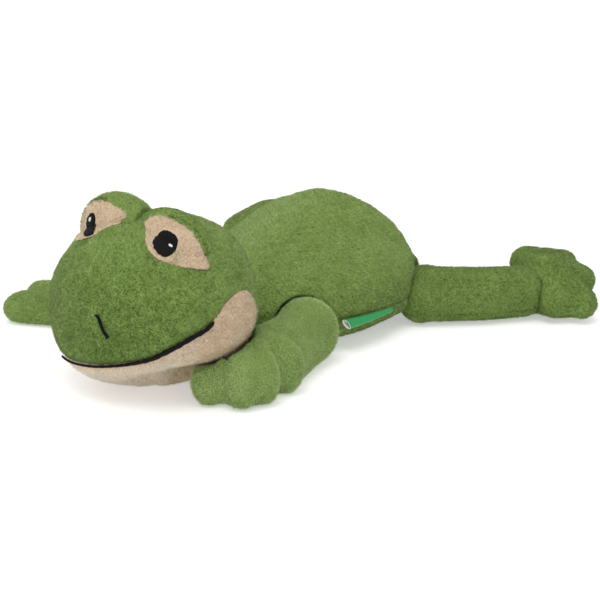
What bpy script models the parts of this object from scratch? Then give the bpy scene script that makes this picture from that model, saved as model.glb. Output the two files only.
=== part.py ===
"""A plush frog that lies on its belly, built as it is sewn and stuffed.

The frog faces -Y with its left side at +X, and the origin is on the floor under the belly. The torso
and the head are skins of two sewn panels round a filling. Each limb is a closed skin with an opening
at its root, where it is sewn to its neighbour, and a filling of its own. The head nods, the arms and
legs swing at their sewn roots, and the feet fold at the ankle seams.
"""

import math

import bmesh
import bpy
import numpy as np
from mathutils import Matrix, Vector

# Fabric and clearances
PLUSH = 0.003
SEAM_GAP = 0.0003
FILLING_GAP = 0.001
JOINT_CLEARANCE = 0.0008
FLAT_DEPTH = 0.0005
MERGE_DISTANCE = 0.000001

# Torso
TORSO_LENGTH = 0.228
TORSO_WIDTH = 0.158
TORSO_HEIGHT = 0.084
TORSO_FRONT = -0.096
TORSO_SEAM_HEIGHT = 0.024

# Head
HEAD_WIDTH = 0.143
HEAD_HEIGHT = 0.113
HEAD_CENTRE_Y = -0.135
MUZZLE = 0.006
NECK_CLEARANCE = 0.0006
CHEEK_CLEARANCE = 0.0015
MOUTH_WIDTH = 0.003
NOSE_STITCH_LENGTH = 0.0125
NOSE_STITCH_WIDTH = 0.0018
STITCH_THICKNESS = 0.0012

# Eyes
EYE_SPACING = 0.0402
EYE_UNEVEN = 0.0019
EYE_MIDDLE_GAP = 0.0004
EYE_DOME_WIDTH = 0.063
EYE_DOME_HEIGHT = 0.0526
EYE_DOME_DEPTH = 0.033
EYE_BELOW_TOP = 0.0171
EYE_FORWARD = 0.0056
EYE_PATCH_THICKNESS = 0.0015
PUPIL_WIDTH = 0.0165
PUPIL_HEIGHT = 0.0175
GLINT_SIZE = 0.003

# Arms
SHOULDER_OUT = 0.068
SHOULDER_Y = -0.057
SHOULDER_BALL = 0.021
ARM_LENGTH_LEFT = 0.102
ARM_LENGTH_RIGHT = 0.110
ARM_THICKNESS = 0.040
FINGER_THICKNESS = 0.025

# Legs and feet
HIP_OUT = 0.070
HIP_Y = 0.078
HIP_BALL = 0.0225
LEG_LENGTH = 0.080
LEG_THICKNESS = 0.038
ANKLE_BALL = 0.0185
FOOT_LENGTH = 0.050
FOOT_WIDTH = 0.074
FOOT_THICKNESS = 0.036
TOE_THICKNESS = 0.025

# Label
LABEL_LENGTH = 0.042
LABEL_WIDTH = 0.008
LABEL_THICKNESS = 0.0007
LABEL_BULGE = 0.0045
LABEL_Y = -0.018
LABEL_LEAN = math.radians(35)
NECK_WIDTH = 0.056

# Angles
MOUTH_LATITUDE = math.radians(-33)
CHEEK_LATITUDE = math.radians(19)
THROAT_LATITUDE = math.radians(-62)
SMILE_DROP = math.radians(22)
SMILE_DROP_BEARING = math.radians(54)
JAW_END_BEARING = math.radians(104)
MOUTH_END_BEARING = math.radians(66)
NOSE_LATITUDE = math.radians(-1)
NOSE_BEARING = math.radians(8)
NOSE_LEAN = math.radians(3)
MUZZLE_LATITUDE = math.radians(-38)
MUZZLE_SPREAD = math.radians(32)
ARM_TURN_LEFT = math.radians(0)
ARM_TURN_RIGHT = math.radians(65.5)
LEG_TURN_LEFT = math.radians(-47)
LEG_TURN_RIGHT = math.radians(-40)
FOOT_TILT = math.radians(14)
EYE_PATCH_ASIDE = math.radians(56)
EYE_PATCH_ABOVE = math.radians(42)
EYE_PATCH_SHIFT = math.radians(29)
EYE_PATCH_LIFT = math.radians(14)
EYE_CORNER_TILT = math.radians(35)
PUPIL_ASIDE = math.radians(17)
PUPIL_ABOVE = math.radians(13)
GLINT_ASIDE = math.radians(6)

# Shape shares: each is a part of the size that it follows, or the power of a rounded profile
TORSO_ROW_SHARES = (0.0, 0.12, 0.28, 0.45, 0.62, 0.8, 1.0)
TORSO_WIDTH_SHARES = (0.8, 0.78, 0.84, 0.93, 1.0, 0.94, 0.75)
TORSO_TOP_SHARES = (0.88, 0.86, 0.87, 1.00, 1.14, 0.97, 0.45)
TORSO_END_POWER_SHARE = 0.75
BELLY_END_POWER_SHARE = 0.5
TORSO_SIDE_POWER_SHARE = 0.85
SMILE_POWER_SHARE = 1.4
SMILE_RISE_SHARE = 0.85
SMILE_LIFT_SHARE = 0.5
JAW_FALL_SHARE = 0.22
EYE_CORNER_POWER_SHARE = 0.25
OPENING_SHARE = 0.7
CHIN_TAPER_SHARE = 0.12
LABEL_TAPER_SHARE = 0.6

# Lumps of a limb: outward, backward and radius, as shares of its length and thickness
FOREARM_SHARES = ((-0.02, 0.0, 0.46), (-0.05, -0.40, 0.42))
PALM_SHARES = (-0.02, -0.55, 0.54, 0.55, 0.37)
FINGER_SHARES = (
    ((-0.08, -0.60, 0.52), (-0.19, -0.86, 0.50)),
    ((0.02, -0.62, 0.54), (0.02, -0.82, 0.54)),
    ((0.06, -0.54, 0.54), (0.12, -0.57, 0.54)),
)
THIGH_SHARES = ((0.01, 0.12, 0.54), (0.01, 0.55, 0.50), (0.0, 0.90, 0.49))
SOLE_SHARES = (0.0, 0.50, 0.44, 0.44, 0.50)
TOE_SHARES = (
    ((-0.22, 0.34, 0.56), (-0.41, 0.27, 0.54)),
    ((-0.14, 0.56, 0.52), (-0.30, 0.76, 0.50)),
    ((0.06, 0.60, 0.52), (0.07, 0.86, 0.50)),
    ((0.20, 0.50, 0.52), (0.36, 0.66, 0.50)),
)

# Counts for the sewn surfaces
CAP_ROW_COUNT = 4
PUPIL_ROW_COUNT = 2
CAP_COLUMNS = 20
DOME_ROWS = 10
DOME_COLUMNS = 18
MOUTH_POINTS = 25
NOSE_POINTS = 5
LUMP_DETAIL = 3
LUMP_VOXEL = 0.0022
LUMP_SMOOTHING = 8
CHAIN_STEPS = 6
CUTTER_DETAIL = 3
ARM_FACES = 440
LEG_FACES = 260
FOOT_FACES = 420
CAVITY_FACES_SHARE = 0.6
LABEL_ROWS = 5
LABEL_COLUMNS = 12
TORSO_ROWS = 14
TORSO_COLUMNS = 10
FACE_COLUMNS = 16
CHEEK_COLUMNS = 4
NAPE_COLUMNS = 6
CROWN_ROWS = 8
JAW_ROWS = 5

PLUSH_ROUGHNESS = 0.95
THREAD_ROUGHNESS = 0.6
SATIN_ROUGHNESS = 0.3
GREEN = (0.19, 0.30, 0.075, 1.0)
BEIGE = (0.63, 0.48, 0.34, 1.0)
BLACK = (0.01, 0.01, 0.01, 1.0)
WHITE = (0.85, 0.85, 0.82, 1.0)
LABEL_GREEN = (0.01, 0.27, 0.07, 1.0)
WADDING = (0.8, 0.79, 0.75, 1.0)


def clear_scene():
    for obj in list(bpy.data.objects):
        bpy.data.objects.remove(obj, do_unlink=True)


def cloth_material(name, colour, roughness=PLUSH_ROUGHNESS):
    material = bpy.data.materials.new(name)
    material.use_nodes = True
    shader = material.node_tree.nodes["Principled BSDF"]
    shader.inputs["Base Color"].default_value = colour
    shader.inputs["Roughness"].default_value = roughness
    shader.inputs["Metallic"].default_value = 0.0
    return material


def mesh_object(name, points, faces, material=None):
    """A closed mesh as a named object, with its doubles merged and its faces pointing out."""
    mesh = bpy.data.meshes.new(name)
    mesh.from_pydata([tuple(point) for point in points], [], faces)
    shape = bmesh.new()
    shape.from_mesh(mesh)
    bmesh.ops.remove_doubles(shape, verts=shape.verts, dist=MERGE_DISTANCE)
    bmesh.ops.recalc_face_normals(shape, faces=shape.faces)
    if shape.calc_volume(signed=True) < 0:
        bmesh.ops.reverse_faces(shape, faces=shape.faces)
    shape.to_mesh(mesh)
    shape.free()
    mesh.shade_smooth()
    obj = bpy.data.objects.new(name, mesh)
    bpy.context.scene.collection.objects.link(obj)
    if material:
        mesh.materials.append(material)
    return obj


def grid_faces(rows, columns, start=0):
    """Triangles of a grid of points, written row by row from the index start, all split the same way."""
    faces = []
    for r in range(rows - 1):
        for c in range(columns - 1):
            near, far = start + r * columns + c, start + (r + 1) * columns + c
            faces += [(near, near + 1, far + 1), (near, far + 1, far)]
    return faces


def closed_surface(name, grid, material=None):
    """A grid whose first and last rows are poles and whose columns meet."""
    rows, columns, _ = grid.shape
    return mesh_object(name, grid.reshape(-1, 3), grid_faces(rows, columns), material)


def panel(name, outer, inner, material, meeting_columns=False, first_open=True, last_open=True):
    """A sewn panel: an outer and an inner grid joined by a wall along each free edge."""
    rows, columns, _ = outer.shape
    count = rows * columns
    points = np.concatenate([outer.reshape(-1, 3), inner.reshape(-1, 3)])
    faces = grid_faces(rows, columns)
    faces += [face[::-1] for face in grid_faces(rows, columns, count)]
    index = np.arange(count).reshape(rows, columns)
    edges = []
    if not meeting_columns:
        edges += [index[:, 0], index[:, -1]]
    if first_open:
        edges.append(index[0])
    if last_open:
        edges.append(index[-1])
    for edge in edges:
        faces += [(a, b, b + count, a + count) for a, b in zip(edge[:-1].tolist(), edge[1:].tolist())]
    return mesh_object(name, points, faces, material)


def cut(obj, cutter, operation="DIFFERENCE"):
    """Cuts obj with a helper that isn't part of the toy."""
    modifier = obj.modifiers.new(cutter.name, "BOOLEAN")
    modifier.operation = operation
    modifier.solver = "EXACT"
    modifier.object = cutter
    cutter.hide_render = True
    cutter.display_type = "WIRE"
    return obj


def ellipsoid(name, centre, radii, turn=0.0, detail=3):
    """A round helper or lump, turned about the vertical."""
    shape = bmesh.new()
    bmesh.ops.create_icosphere(shape, subdivisions=detail, radius=1.0)
    place = Matrix.Translation(Vector(centre)) @ Matrix.Rotation(turn, 4, "Z") @ Matrix.Diagonal((*radii, 1.0))
    bmesh.ops.transform(shape, matrix=place, verts=shape.verts)
    mesh = bpy.data.meshes.new(name)
    shape.to_mesh(mesh)
    shape.free()
    obj = bpy.data.objects.new(name, mesh)
    bpy.context.scene.collection.objects.link(obj)
    return obj


def smooth_shares(stations, shares, t):
    """Shares read between their stations along an eased curve, level at each station."""
    t = np.asarray(t, float)
    slot = np.clip(np.searchsorted(stations, t) - 1, 0, len(stations) - 2)
    x0, x1 = np.take(stations, slot), np.take(stations, slot + 1)
    slope = np.gradient(shares, stations)
    y0, y1 = np.take(shares, slot), np.take(shares, slot + 1)
    m0, m1 = np.take(slope, slot), np.take(slope, slot + 1)
    h = x1 - x0
    u = (t - x0) / h
    return (
        (2 * u**3 - 3 * u**2 + 1) * y0 + (u**3 - 2 * u**2 + u) * h * m0
        + (-2 * u**3 + 3 * u**2) * y1 + (u**3 - u**2) * h * m1
    )


def signed_power(value, power):
    return np.sign(value) * np.abs(value) ** power


def outward_offsets(grid):
    """Unit normals of a grid whose end rows are poles on the Y axis and whose columns meet."""
    along = np.gradient(grid, axis=0)
    wrapped = np.concatenate([grid[:, -2:-1], grid, grid[:, 1:2]], axis=1)
    around = (wrapped[:, 2:] - wrapped[:, :-2]) / 2
    normals = np.cross(around, along)
    normals[0] = (0.0, -1.0, 0.0)
    normals[-1] = (0.0, 1.0, 0.0)
    middle = grid.mean(axis=1, keepdims=True)
    facing = np.sign(np.sum(normals * (grid - middle), axis=2, keepdims=True))
    facing[0] = facing[-1] = 1.0
    return normals * facing / np.linalg.norm(normals, axis=2, keepdims=True)


def torso_grid():
    """The torso as rows of rings along Y: half width, height over the seam and depth under it."""
    t = np.linspace(0.0, math.pi, TORSO_ROWS + 1)[:, None]
    share = (1 - np.cos(t)) / 2
    round_end = np.sin(t) ** TORSO_END_POWER_SHARE
    width = TORSO_WIDTH / 2 * round_end * smooth_shares(TORSO_ROW_SHARES, TORSO_WIDTH_SHARES, share)
    rise = (TORSO_HEIGHT - TORSO_SEAM_HEIGHT) * round_end
    rise = rise * smooth_shares(TORSO_ROW_SHARES, TORSO_TOP_SHARES, share)
    drop = (TORSO_SEAM_HEIGHT + FLAT_DEPTH) * np.sin(t) ** BELLY_END_POWER_SHARE
    angle = np.linspace(0.0, 2 * math.pi, 2 * TORSO_COLUMNS + 1)[None, :]
    x = width * signed_power(np.cos(angle), TORSO_SIDE_POWER_SHARE)
    lift = signed_power(np.sin(angle), TORSO_SIDE_POWER_SHARE)
    z = TORSO_SEAM_HEIGHT + np.where(lift > 0, rise, drop) * lift
    y = TORSO_FRONT + TORSO_LENGTH * share + 0 * angle
    return np.stack([x, y, z], axis=2)


def make_torso():
    grid = torso_grid()
    normals = outward_offsets(grid)

    def layer(depth):
        points = grid - normals * depth
        points[..., 2] = np.maximum(points[..., 2], depth)
        return points

    outer, lining, core = grid, layer(PLUSH), layer(PLUSH + FILLING_GAP)
    upper = slice(0, TORSO_COLUMNS + 1)
    lower = slice(TORSO_COLUMNS, 2 * TORSO_COLUMNS + 1)
    raised = np.array([0.0, 0.0, SEAM_GAP])
    back = panel("torso_back_panel", outer[:, upper] + raised, lining[:, upper] + raised,
                 cloth_material("back_plush", GREEN), False, False, False)
    belly = panel("torso_belly_panel", outer[:, lower], lining[:, lower],
                  cloth_material("belly_plush", GREEN), False, False, False)
    filling = closed_surface("torso_filling", core, cloth_material("torso_wadding", WADDING))
    return back, belly, filling


def head_radii(depth=0.0):
    return np.array([HEAD_WIDTH / 2, HEAD_HEIGHT / 2, HEAD_HEIGHT / 2]) - depth


def head_centre():
    return np.array([0.0, HEAD_CENTRE_Y, HEAD_HEIGHT / 2 - FLAT_DEPTH])


def head_point(bearing, latitude, depth=0.0):
    """A point under the head's surface, by its bearing from the nose and its latitude."""
    taper = 1 - CHIN_TAPER_SHARE * np.maximum(-np.sin(latitude), 0.0)
    unit = np.stack([np.cos(latitude) * np.sin(bearing) * taper, -np.cos(latitude) * np.cos(bearing),
                     np.sin(latitude)], axis=-1)
    front = np.maximum(np.cos(bearing), 0.0)
    swell = MUZZLE * front * np.exp(-(((latitude - MUZZLE_LATITUDE) / MUZZLE_SPREAD) ** 2))
    return head_centre() + unit * head_radii(depth) - np.stack([0 * swell, swell, 0 * swell], axis=-1)


def jaw_edge(bearing):
    """Latitude of the seam between the green face and the beige jaw, low behind the cheeks.

    The smile is lower on the frog's right, as sewn."""
    turn = np.abs((bearing + math.pi) % (2 * math.pi) - math.pi) / JAW_END_BEARING
    rise = np.minimum(turn / SMILE_RISE_SHARE, 1.0) ** SMILE_POWER_SHARE
    far = np.clip(-bearing / SMILE_DROP_BEARING, 0.0, 1.0)
    lift = np.clip(turn - SMILE_RISE_SHARE + JAW_FALL_SHARE, 0.0, JAW_FALL_SHARE) / JAW_FALL_SHARE
    drop = SMILE_DROP * far * far * (1 - SMILE_LIFT_SHARE * lift)
    smile = MOUTH_LATITUDE + (CHEEK_LATITUDE - MOUTH_LATITUDE) * rise
    fall = np.clip((turn - 1.0) / JAW_FALL_SHARE, 0.0, 1.0)
    fall = fall * fall * (3 - 2 * fall)
    return smile - drop * (1 - fall) + (THROAT_LATITUDE - CHEEK_LATITUDE) * fall


def head_bearings():
    """Bearings of the head's columns, closer together where the jaw's rear edge falls."""
    fall_end = JAW_END_BEARING * (1 + JAW_FALL_SHARE)
    nape = np.linspace(fall_end, math.pi, NAPE_COLUMNS // 2 + 1)
    cheek = np.linspace(JAW_END_BEARING, fall_end, CHEEK_COLUMNS + 1)
    face = np.linspace(-JAW_END_BEARING, JAW_END_BEARING, FACE_COLUMNS + 1)
    side = np.concatenate([cheek, nape[1:]])
    return np.concatenate([-side[::-1], face[1:-1], side])


def make_head():
    """The head's two panels and filling, and a helper that clears the same shape."""
    bearing = head_bearings()[None, :]
    edge = jaw_edge(bearing)
    half_gap = SEAM_GAP / (HEAD_HEIGHT / 2)
    up = np.linspace(0.0, 1.0, CROWN_ROWS + 1)[:, None]
    down = np.linspace(0.0, 1.0, JAW_ROWS + 1)[:, None]
    crown_latitude = (edge + half_gap) * (1 - up) + math.pi / 2 * up
    jaw_latitude = -math.pi / 2 * (1 - down) + (edge - half_gap) * down
    latitude = np.concatenate([jaw_latitude, crown_latitude[1:]])

    def layer(rows, depth):
        points = head_point(bearing + 0 * rows, rows, depth)
        if depth > 0:
            points[..., 2] = np.maximum(points[..., 2], depth)
        return points

    crown = panel("head_crown_panel", layer(crown_latitude, 0.0), layer(crown_latitude, PLUSH),
                  cloth_material("face_plush", GREEN), True, True, False)
    jaw = panel("head_jaw_panel", layer(jaw_latitude, 0.0), layer(jaw_latitude, PLUSH),
                cloth_material("jaw_plush", BEIGE), True, False, True)
    filling = closed_surface("head_filling", layer(latitude, PLUSH + FILLING_GAP),
                             cloth_material("head_wadding", WADDING))
    form = closed_surface("head_form_cutter", layer(latitude, -NECK_CLEARANCE))
    return crown, jaw, filling, form


def dome_centre(side):
    """The middle of an eye dome. The right one sits a little higher, as sewn."""
    height = HEAD_HEIGHT - FLAT_DEPTH - EYE_BELOW_TOP
    return np.array([side * EYE_SPACING / 2, HEAD_CENTRE_Y - EYE_FORWARD, height - side * EYE_UNEVEN])


def dome_reach(height):
    return np.array([EYE_DOME_WIDTH, EYE_DOME_DEPTH, EYE_DOME_HEIGHT]) / 2 + height


def dome_point(side, aside, above, height, over_head=True):
    """A point over the dome, and over the head too, by its angles aside and above forward."""
    aside, above = np.asarray(aside), np.asarray(above)
    facing = np.stack([side * np.sin(aside) * np.cos(above), -np.cos(aside) * np.cos(above), np.sin(above)], axis=-1)
    points = dome_centre(side) + facing * dome_reach(height)
    points[..., 0] = side * np.maximum(side * points[..., 0], EYE_MIDDLE_GAP / 2)
    if not over_head:
        return points
    swell = MUZZLE * np.exp(-(((0.0 - MUZZLE_LATITUDE) / MUZZLE_SPREAD) ** 2))
    clear = (points - head_centre()) / head_radii(-NECK_CLEARANCE - height - swell)
    depth = np.minimum(np.linalg.norm(clear, axis=-1, keepdims=True), 1.0)
    return head_centre() + (points - head_centre()) / depth


def dome_cap(name, side, outline, middle, low, high, material, rows=1):
    """A thin sewn or stitched shape over the dome, from the height low to the height high."""
    ring = np.linspace(0.0, 1.0, rows + 1)[:, None]
    aside = middle[0] + ring * (outline[0] - middle[0])[None, :]
    above = middle[1] + ring * (outline[1] - middle[1])[None, :]
    return panel(name, dome_point(side, aside, above, high), dome_point(side, aside, above, low),
                 material, True, False, True)


def make_eye(side, hand, head_form):
    around = np.linspace(0.0, 2 * math.pi, CAP_COLUMNS + 1)
    latitude = np.linspace(-math.pi / 2, math.pi / 2, DOME_ROWS + 1)[:, None]
    aside = np.linspace(-math.pi, math.pi, DOME_COLUMNS + 1)[None, :]
    dome = closed_surface("eye_dome_" + hand,
                          dome_point(side, aside + 0 * latitude, latitude + 0 * aside, 0.0, False),
                          cloth_material("eye_dome_plush_" + hand, GREEN))
    cut(dome, head_form)
    level = SEAM_GAP
    drop_x = EYE_PATCH_ASIDE * np.cos(around)
    drop_z = EYE_PATCH_ABOVE * np.sin(around) * np.abs(np.sin(around / 2)) ** EYE_CORNER_POWER_SHARE
    tilt = EYE_CORNER_TILT
    outline = (EYE_PATCH_SHIFT + drop_x * math.cos(tilt) + drop_z * math.sin(tilt),
               EYE_PATCH_LIFT - drop_x * math.sin(tilt) + drop_z * math.cos(tilt))
    patch = dome_cap("eye_patch_" + hand, side, outline, (PUPIL_ASIDE, PUPIL_ABOVE), level,
                     level + EYE_PATCH_THICKNESS, cloth_material("eye_patch_plush_" + hand, BEIGE), CAP_ROW_COUNT)
    level += EYE_PATCH_THICKNESS + 2 * SEAM_GAP
    reach = dome_reach(level)
    oval = (PUPIL_ASIDE + PUPIL_WIDTH / 2 / reach[0] * np.cos(around),
            PUPIL_ABOVE + PUPIL_HEIGHT / 2 / reach[2] * np.sin(around))
    pupil = dome_cap("pupil_" + hand, side, oval, (PUPIL_ASIDE, PUPIL_ABOVE), level, level + STITCH_THICKNESS,
                     cloth_material("pupil_thread_" + hand, BLACK, THREAD_ROUGHNESS), PUPIL_ROW_COUNT)
    level += STITCH_THICKNESS + SEAM_GAP
    spot = PUPIL_ASIDE + side * GLINT_ASIDE
    few = around[::2]
    dot = (spot + GLINT_SIZE / 2 / reach[0] * np.cos(few), PUPIL_ABOVE + GLINT_SIZE / 2 / reach[2] * np.sin(few))
    glint = dome_cap("eye_glint_" + hand, side, dot, (spot, PUPIL_ABOVE), level, level + STITCH_THICKNESS,
                     cloth_material("glint_thread_" + hand, WHITE, THREAD_ROUGHNESS))
    return dome, patch, pupil, glint


def head_band(name, bearing, latitude, width, material):
    """A flat line of satin stitch laid over the head, along bearings and latitudes."""
    path = head_point(bearing, latitude)
    along = np.gradient(path, axis=0)
    normal = (path - head_centre()) / head_radii() ** 2
    normal /= np.linalg.norm(normal, axis=1, keepdims=True)
    across = np.cross(normal, along)
    across *= width / 2 / np.linalg.norm(across, axis=1, keepdims=True)
    low, high = normal * SEAM_GAP, normal * (SEAM_GAP + STITCH_THICKNESS)
    ring = np.stack([path - across + low, path + across + low, path + across + high, path - across + high], axis=1)
    ring = np.concatenate([ring, ring[:, :1]], axis=1)
    ends = [np.repeat(r.mean(axis=0)[None, None, :], ring.shape[1], axis=1) for r in (ring[0, :4], ring[-1, :4])]
    return closed_surface(name, np.concatenate([ends[0], ring, ends[1]]), material)


def make_face_stitches():
    thread = cloth_material("black_thread", BLACK, THREAD_ROUGHNESS)
    bearing = np.linspace(-MOUTH_END_BEARING, MOUTH_END_BEARING, MOUTH_POINTS)
    mouth = head_band("mouth_stitch", bearing, jaw_edge(bearing), MOUTH_WIDTH, thread)
    half = NOSE_STITCH_LENGTH / HEAD_HEIGHT
    latitude = np.linspace(NOSE_LATITUDE - half, NOSE_LATITUDE + half, NOSE_POINTS)
    lean = np.linspace(NOSE_LEAN, -NOSE_LEAN, NOSE_POINTS)
    nose = head_band("nose_stitch", NOSE_BEARING + lean, latitude, NOSE_STITCH_WIDTH, thread)
    return mouth, nose


def limb_place(side, root, turn, x, y):
    """A floor place from its outward and backward distances in the limb's own directions."""
    outward = x * math.cos(turn) - y * math.sin(turn)
    return root[0] + side * outward, root[1] + x * math.sin(turn) + y * math.cos(turn)


def plump(name, lumps, side, root, turn, thinner, faces, tilt=0.0):
    """The smooth union of round lumps, each thinner by the same depth, as a mesh of few faces."""
    shape = bmesh.new()
    for x, y, height, radii in lumps:
        at = limb_place(side, root, turn, x, y)
        reach = [radius - thinner for radius in radii]
        ball = (Matrix.Translation(Vector((*at, height))) @ Matrix.Rotation(side * turn, 4, "Z")
                @ Matrix.Rotation(side * tilt, 4, "Y") @ Matrix.Diagonal((*reach, 1.0)))
        bmesh.ops.create_icosphere(shape, subdivisions=LUMP_DETAIL, radius=1.0, matrix=ball)
    mesh = bpy.data.meshes.new(name)
    shape.to_mesh(mesh)
    shape.free()
    rough = bpy.data.objects.new(name + "_rough", mesh)
    bpy.context.scene.collection.objects.link(rough)
    remesh = rough.modifiers.new("Union", "REMESH")
    remesh.mode = "VOXEL"
    remesh.voxel_size = LUMP_VOXEL
    relax = rough.modifiers.new("Relax", "SMOOTH")
    relax.iterations = LUMP_SMOOTHING
    bpy.context.view_layer.update()
    count = len(rough.evaluated_get(bpy.context.evaluated_depsgraph_get()).data.polygons)
    fewer = rough.modifiers.new("Fewer", "DECIMATE")
    fewer.ratio = faces / (2 * count)
    bpy.context.view_layer.update()
    final = bpy.data.meshes.new_from_object(rough.evaluated_get(bpy.context.evaluated_depsgraph_get()))
    bpy.data.objects.remove(rough)
    final.name = name
    final.shade_smooth()
    obj = bpy.data.objects.new(name, final)
    bpy.context.scene.collection.objects.link(obj)
    return obj


def swollen_copy(name, obj, distance):
    """A copy of a mesh with every point moved out along its normal."""
    mesh = obj.data.copy()
    mesh.name = name
    normals = np.empty(3 * len(mesh.vertices))
    places = np.empty(3 * len(mesh.vertices))
    mesh.vertex_normals.foreach_get("vector", normals)
    mesh.vertices.foreach_get("co", places)
    mesh.vertices.foreach_set("co", places + distance * normals)
    copy = bpy.data.objects.new(name, mesh)
    bpy.context.scene.collection.objects.link(copy)
    return copy


def chain(start, end, steps):
    """Round lumps from start to end, each (x, y, radius), resting on the floor."""
    lumps = []
    for share in np.linspace(0.0, 1.0, steps):
        x, y, radius = (a + (b - a) * share for a, b in zip(start, end))
        lumps.append((x, y, radius - FLAT_DEPTH, (radius, radius, radius)))
    return lumps


def skin_and_filling(part, hand, lumps, mouth, side, root, turn, faces, cutters, tilt=0.0):
    """A limb's skin, open at the lump called mouth, and the filling that it holds."""
    skin = plump(part + "_skin_" + hand, lumps, side, root, turn, 0.0, faces, tilt)
    skin.data.materials.append(cloth_material(part + "_plush_" + hand, GREEN))
    filling = plump(part + "_filling_" + hand, lumps, side, root, turn, PLUSH + FILLING_GAP,
                    faces * CAVITY_FACES_SHARE, tilt)
    cavity = swollen_copy(part + "_cavity_" + hand, filling, FILLING_GAP)
    cut(cavity, cutters["lining"])
    filling.data.materials.append(cloth_material(part + "_wadding_" + hand, WADDING))
    x, y, height, radii = mouth
    opening = ellipsoid(part + "_opening_" + hand, (*limb_place(side, root, turn, x, y), height), radii)
    cut(skin, cutters["floor"])
    cut(skin, cavity)
    cut(skin, opening)
    cut(filling, cutters["core"])
    return skin, filling


def make_arm(side, hand, length, turn, cutters):
    root = (side * SHOULDER_OUT, SHOULDER_Y)
    lumps = [(0.0, 0.0, SHOULDER_BALL - FLAT_DEPTH, (SHOULDER_BALL,) * 3)]
    x, y, *radii = PALM_SHARES
    reach = tuple(ARM_THICKNESS * share for share in radii)
    lumps.append((x * length, y * length, reach[2] - FLAT_DEPTH, reach))
    forearm = [(x * length, y * length, r * ARM_THICKNESS) for x, y, r in FOREARM_SHARES]
    lumps += chain(*forearm, CHAIN_STEPS)
    for finger in FINGER_SHARES:
        ends = [(x * length, y * length, r * FINGER_THICKNESS) for x, y, r in finger]
        lumps += chain(*ends, CHAIN_STEPS)
    inward = SHOULDER_BALL * OPENING_SHARE
    mouth = (-inward * math.cos(turn), inward * math.sin(turn), SHOULDER_BALL, (inward,) * 3)
    pieces = skin_and_filling("arm", hand, lumps, mouth, side, root, turn, ARM_FACES, cutters)
    for piece in pieces:
        cut(piece, cutters["cheek"])
    return pieces


def make_leg(side, hand, turn, cutters):
    root = (side * HIP_OUT, HIP_Y)
    lumps = [(0.0, 0.0, HIP_BALL - FLAT_DEPTH, (HIP_BALL,) * 3)]
    knots = [(x * LEG_LENGTH, y * LEG_LENGTH, r * LEG_THICKNESS) for x, y, r in THIGH_SHARES]
    for start, end in zip(knots[:-1], knots[1:]):
        lumps += chain(start, end, CHAIN_STEPS)
    lumps.append((0.0, LEG_LENGTH, ANKLE_BALL - FLAT_DEPTH, (ANKLE_BALL,) * 3))
    mouth = (0.0, -HIP_BALL * OPENING_SHARE, HIP_BALL, (HIP_BALL * OPENING_SHARE,) * 3)
    return skin_and_filling("leg", hand, lumps, mouth, side, root, turn, LEG_FACES, cutters)


def make_foot(side, hand, ankle, turn, cutters):
    """The foot, its inner side lifted, with a socket for the leg's ankle ball."""
    x, y, *radii = SOLE_SHARES
    reach = (radii[0] * FOOT_WIDTH, radii[1] * FOOT_LENGTH, radii[2] * FOOT_THICKNESS)
    rise = math.hypot(reach[0] * math.sin(FOOT_TILT), reach[2] * math.cos(FOOT_TILT))
    lumps = [(x * FOOT_WIDTH, y * FOOT_LENGTH, rise - FLAT_DEPTH, reach)]
    for toe in TOE_SHARES:
        ends = [(x * FOOT_WIDTH, y * FOOT_LENGTH, r * TOE_THICKNESS) for x, y, r in toe]
        for x, y, height, radii in chain(*ends, CHAIN_STEPS):
            lift = max((FOOT_WIDTH / 2 - x) * math.sin(FOOT_TILT), 0.0)
            lumps.append((x, y, height + lift, radii))
    mouth = (0.0, 0.0, ANKLE_BALL, (ANKLE_BALL * OPENING_SHARE,) * 3)
    pieces = skin_and_filling("foot", hand, lumps, mouth, side, ankle.xy, turn, FOOT_FACES, cutters, FOOT_TILT)
    ball = ellipsoid("ankle_cutter_" + hand, ankle, (ANKLE_BALL + JOINT_CLEARANCE,) * 3)
    for piece in pieces:
        cut(piece, ball)
    return pieces


def slab_below(name, height):
    """A slab that reaches from far under the floor up to the given height."""
    shape = bmesh.new()
    reach = TORSO_LENGTH * 2
    slab = Matrix.Translation((0.0, 0.0, height - reach / 2)) @ Matrix.Diagonal((2 * reach, 2 * reach, reach, 1.0))
    bmesh.ops.create_cube(shape, size=1.0, matrix=slab)
    mesh = bpy.data.meshes.new(name)
    shape.to_mesh(mesh)
    shape.free()
    obj = bpy.data.objects.new(name, mesh)
    bpy.context.scene.collection.objects.link(obj)
    return obj


def make_label():
    """A folded loop of satin ribbon, sewn in the side seam and left open at its front end."""
    share = np.linspace(0.0, 1.0, LABEL_ROWS + 1)[:, None]
    angle = np.linspace(0.0, 2 * math.pi, LABEL_COLUMNS + 1)[None, :]
    y = LABEL_Y + LABEL_LENGTH * share
    torso = torso_grid()
    edge = np.interp(y[:, 0], torso[:, 0, 1], torso[:, 0, 0])[:, None]
    width = LABEL_WIDTH * (1 - LABEL_TAPER_SHARE * share)
    bulge = LABEL_BULGE * (1 - LABEL_TAPER_SHARE * share)

    def tube(inset):
        across = (width / 2 - inset) * np.cos(angle)
        above = (bulge / 2 - inset) * np.sin(angle)
        lean = LABEL_LEAN
        x = edge + SEAM_GAP + width / 2 * math.cos(lean) + across * math.cos(lean) + above * math.sin(lean)
        z = TORSO_SEAM_HEIGHT - width / 2 * math.sin(lean) - across * math.sin(lean) + above * math.cos(lean)
        return np.stack([x, y + 0 * angle, z], axis=2)

    panel("side_label", tube(0.0), tube(LABEL_THICKNESS), cloth_material("green_satin", LABEL_GREEN, SATIN_ROUGHNESS),
          True, True, True)


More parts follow.
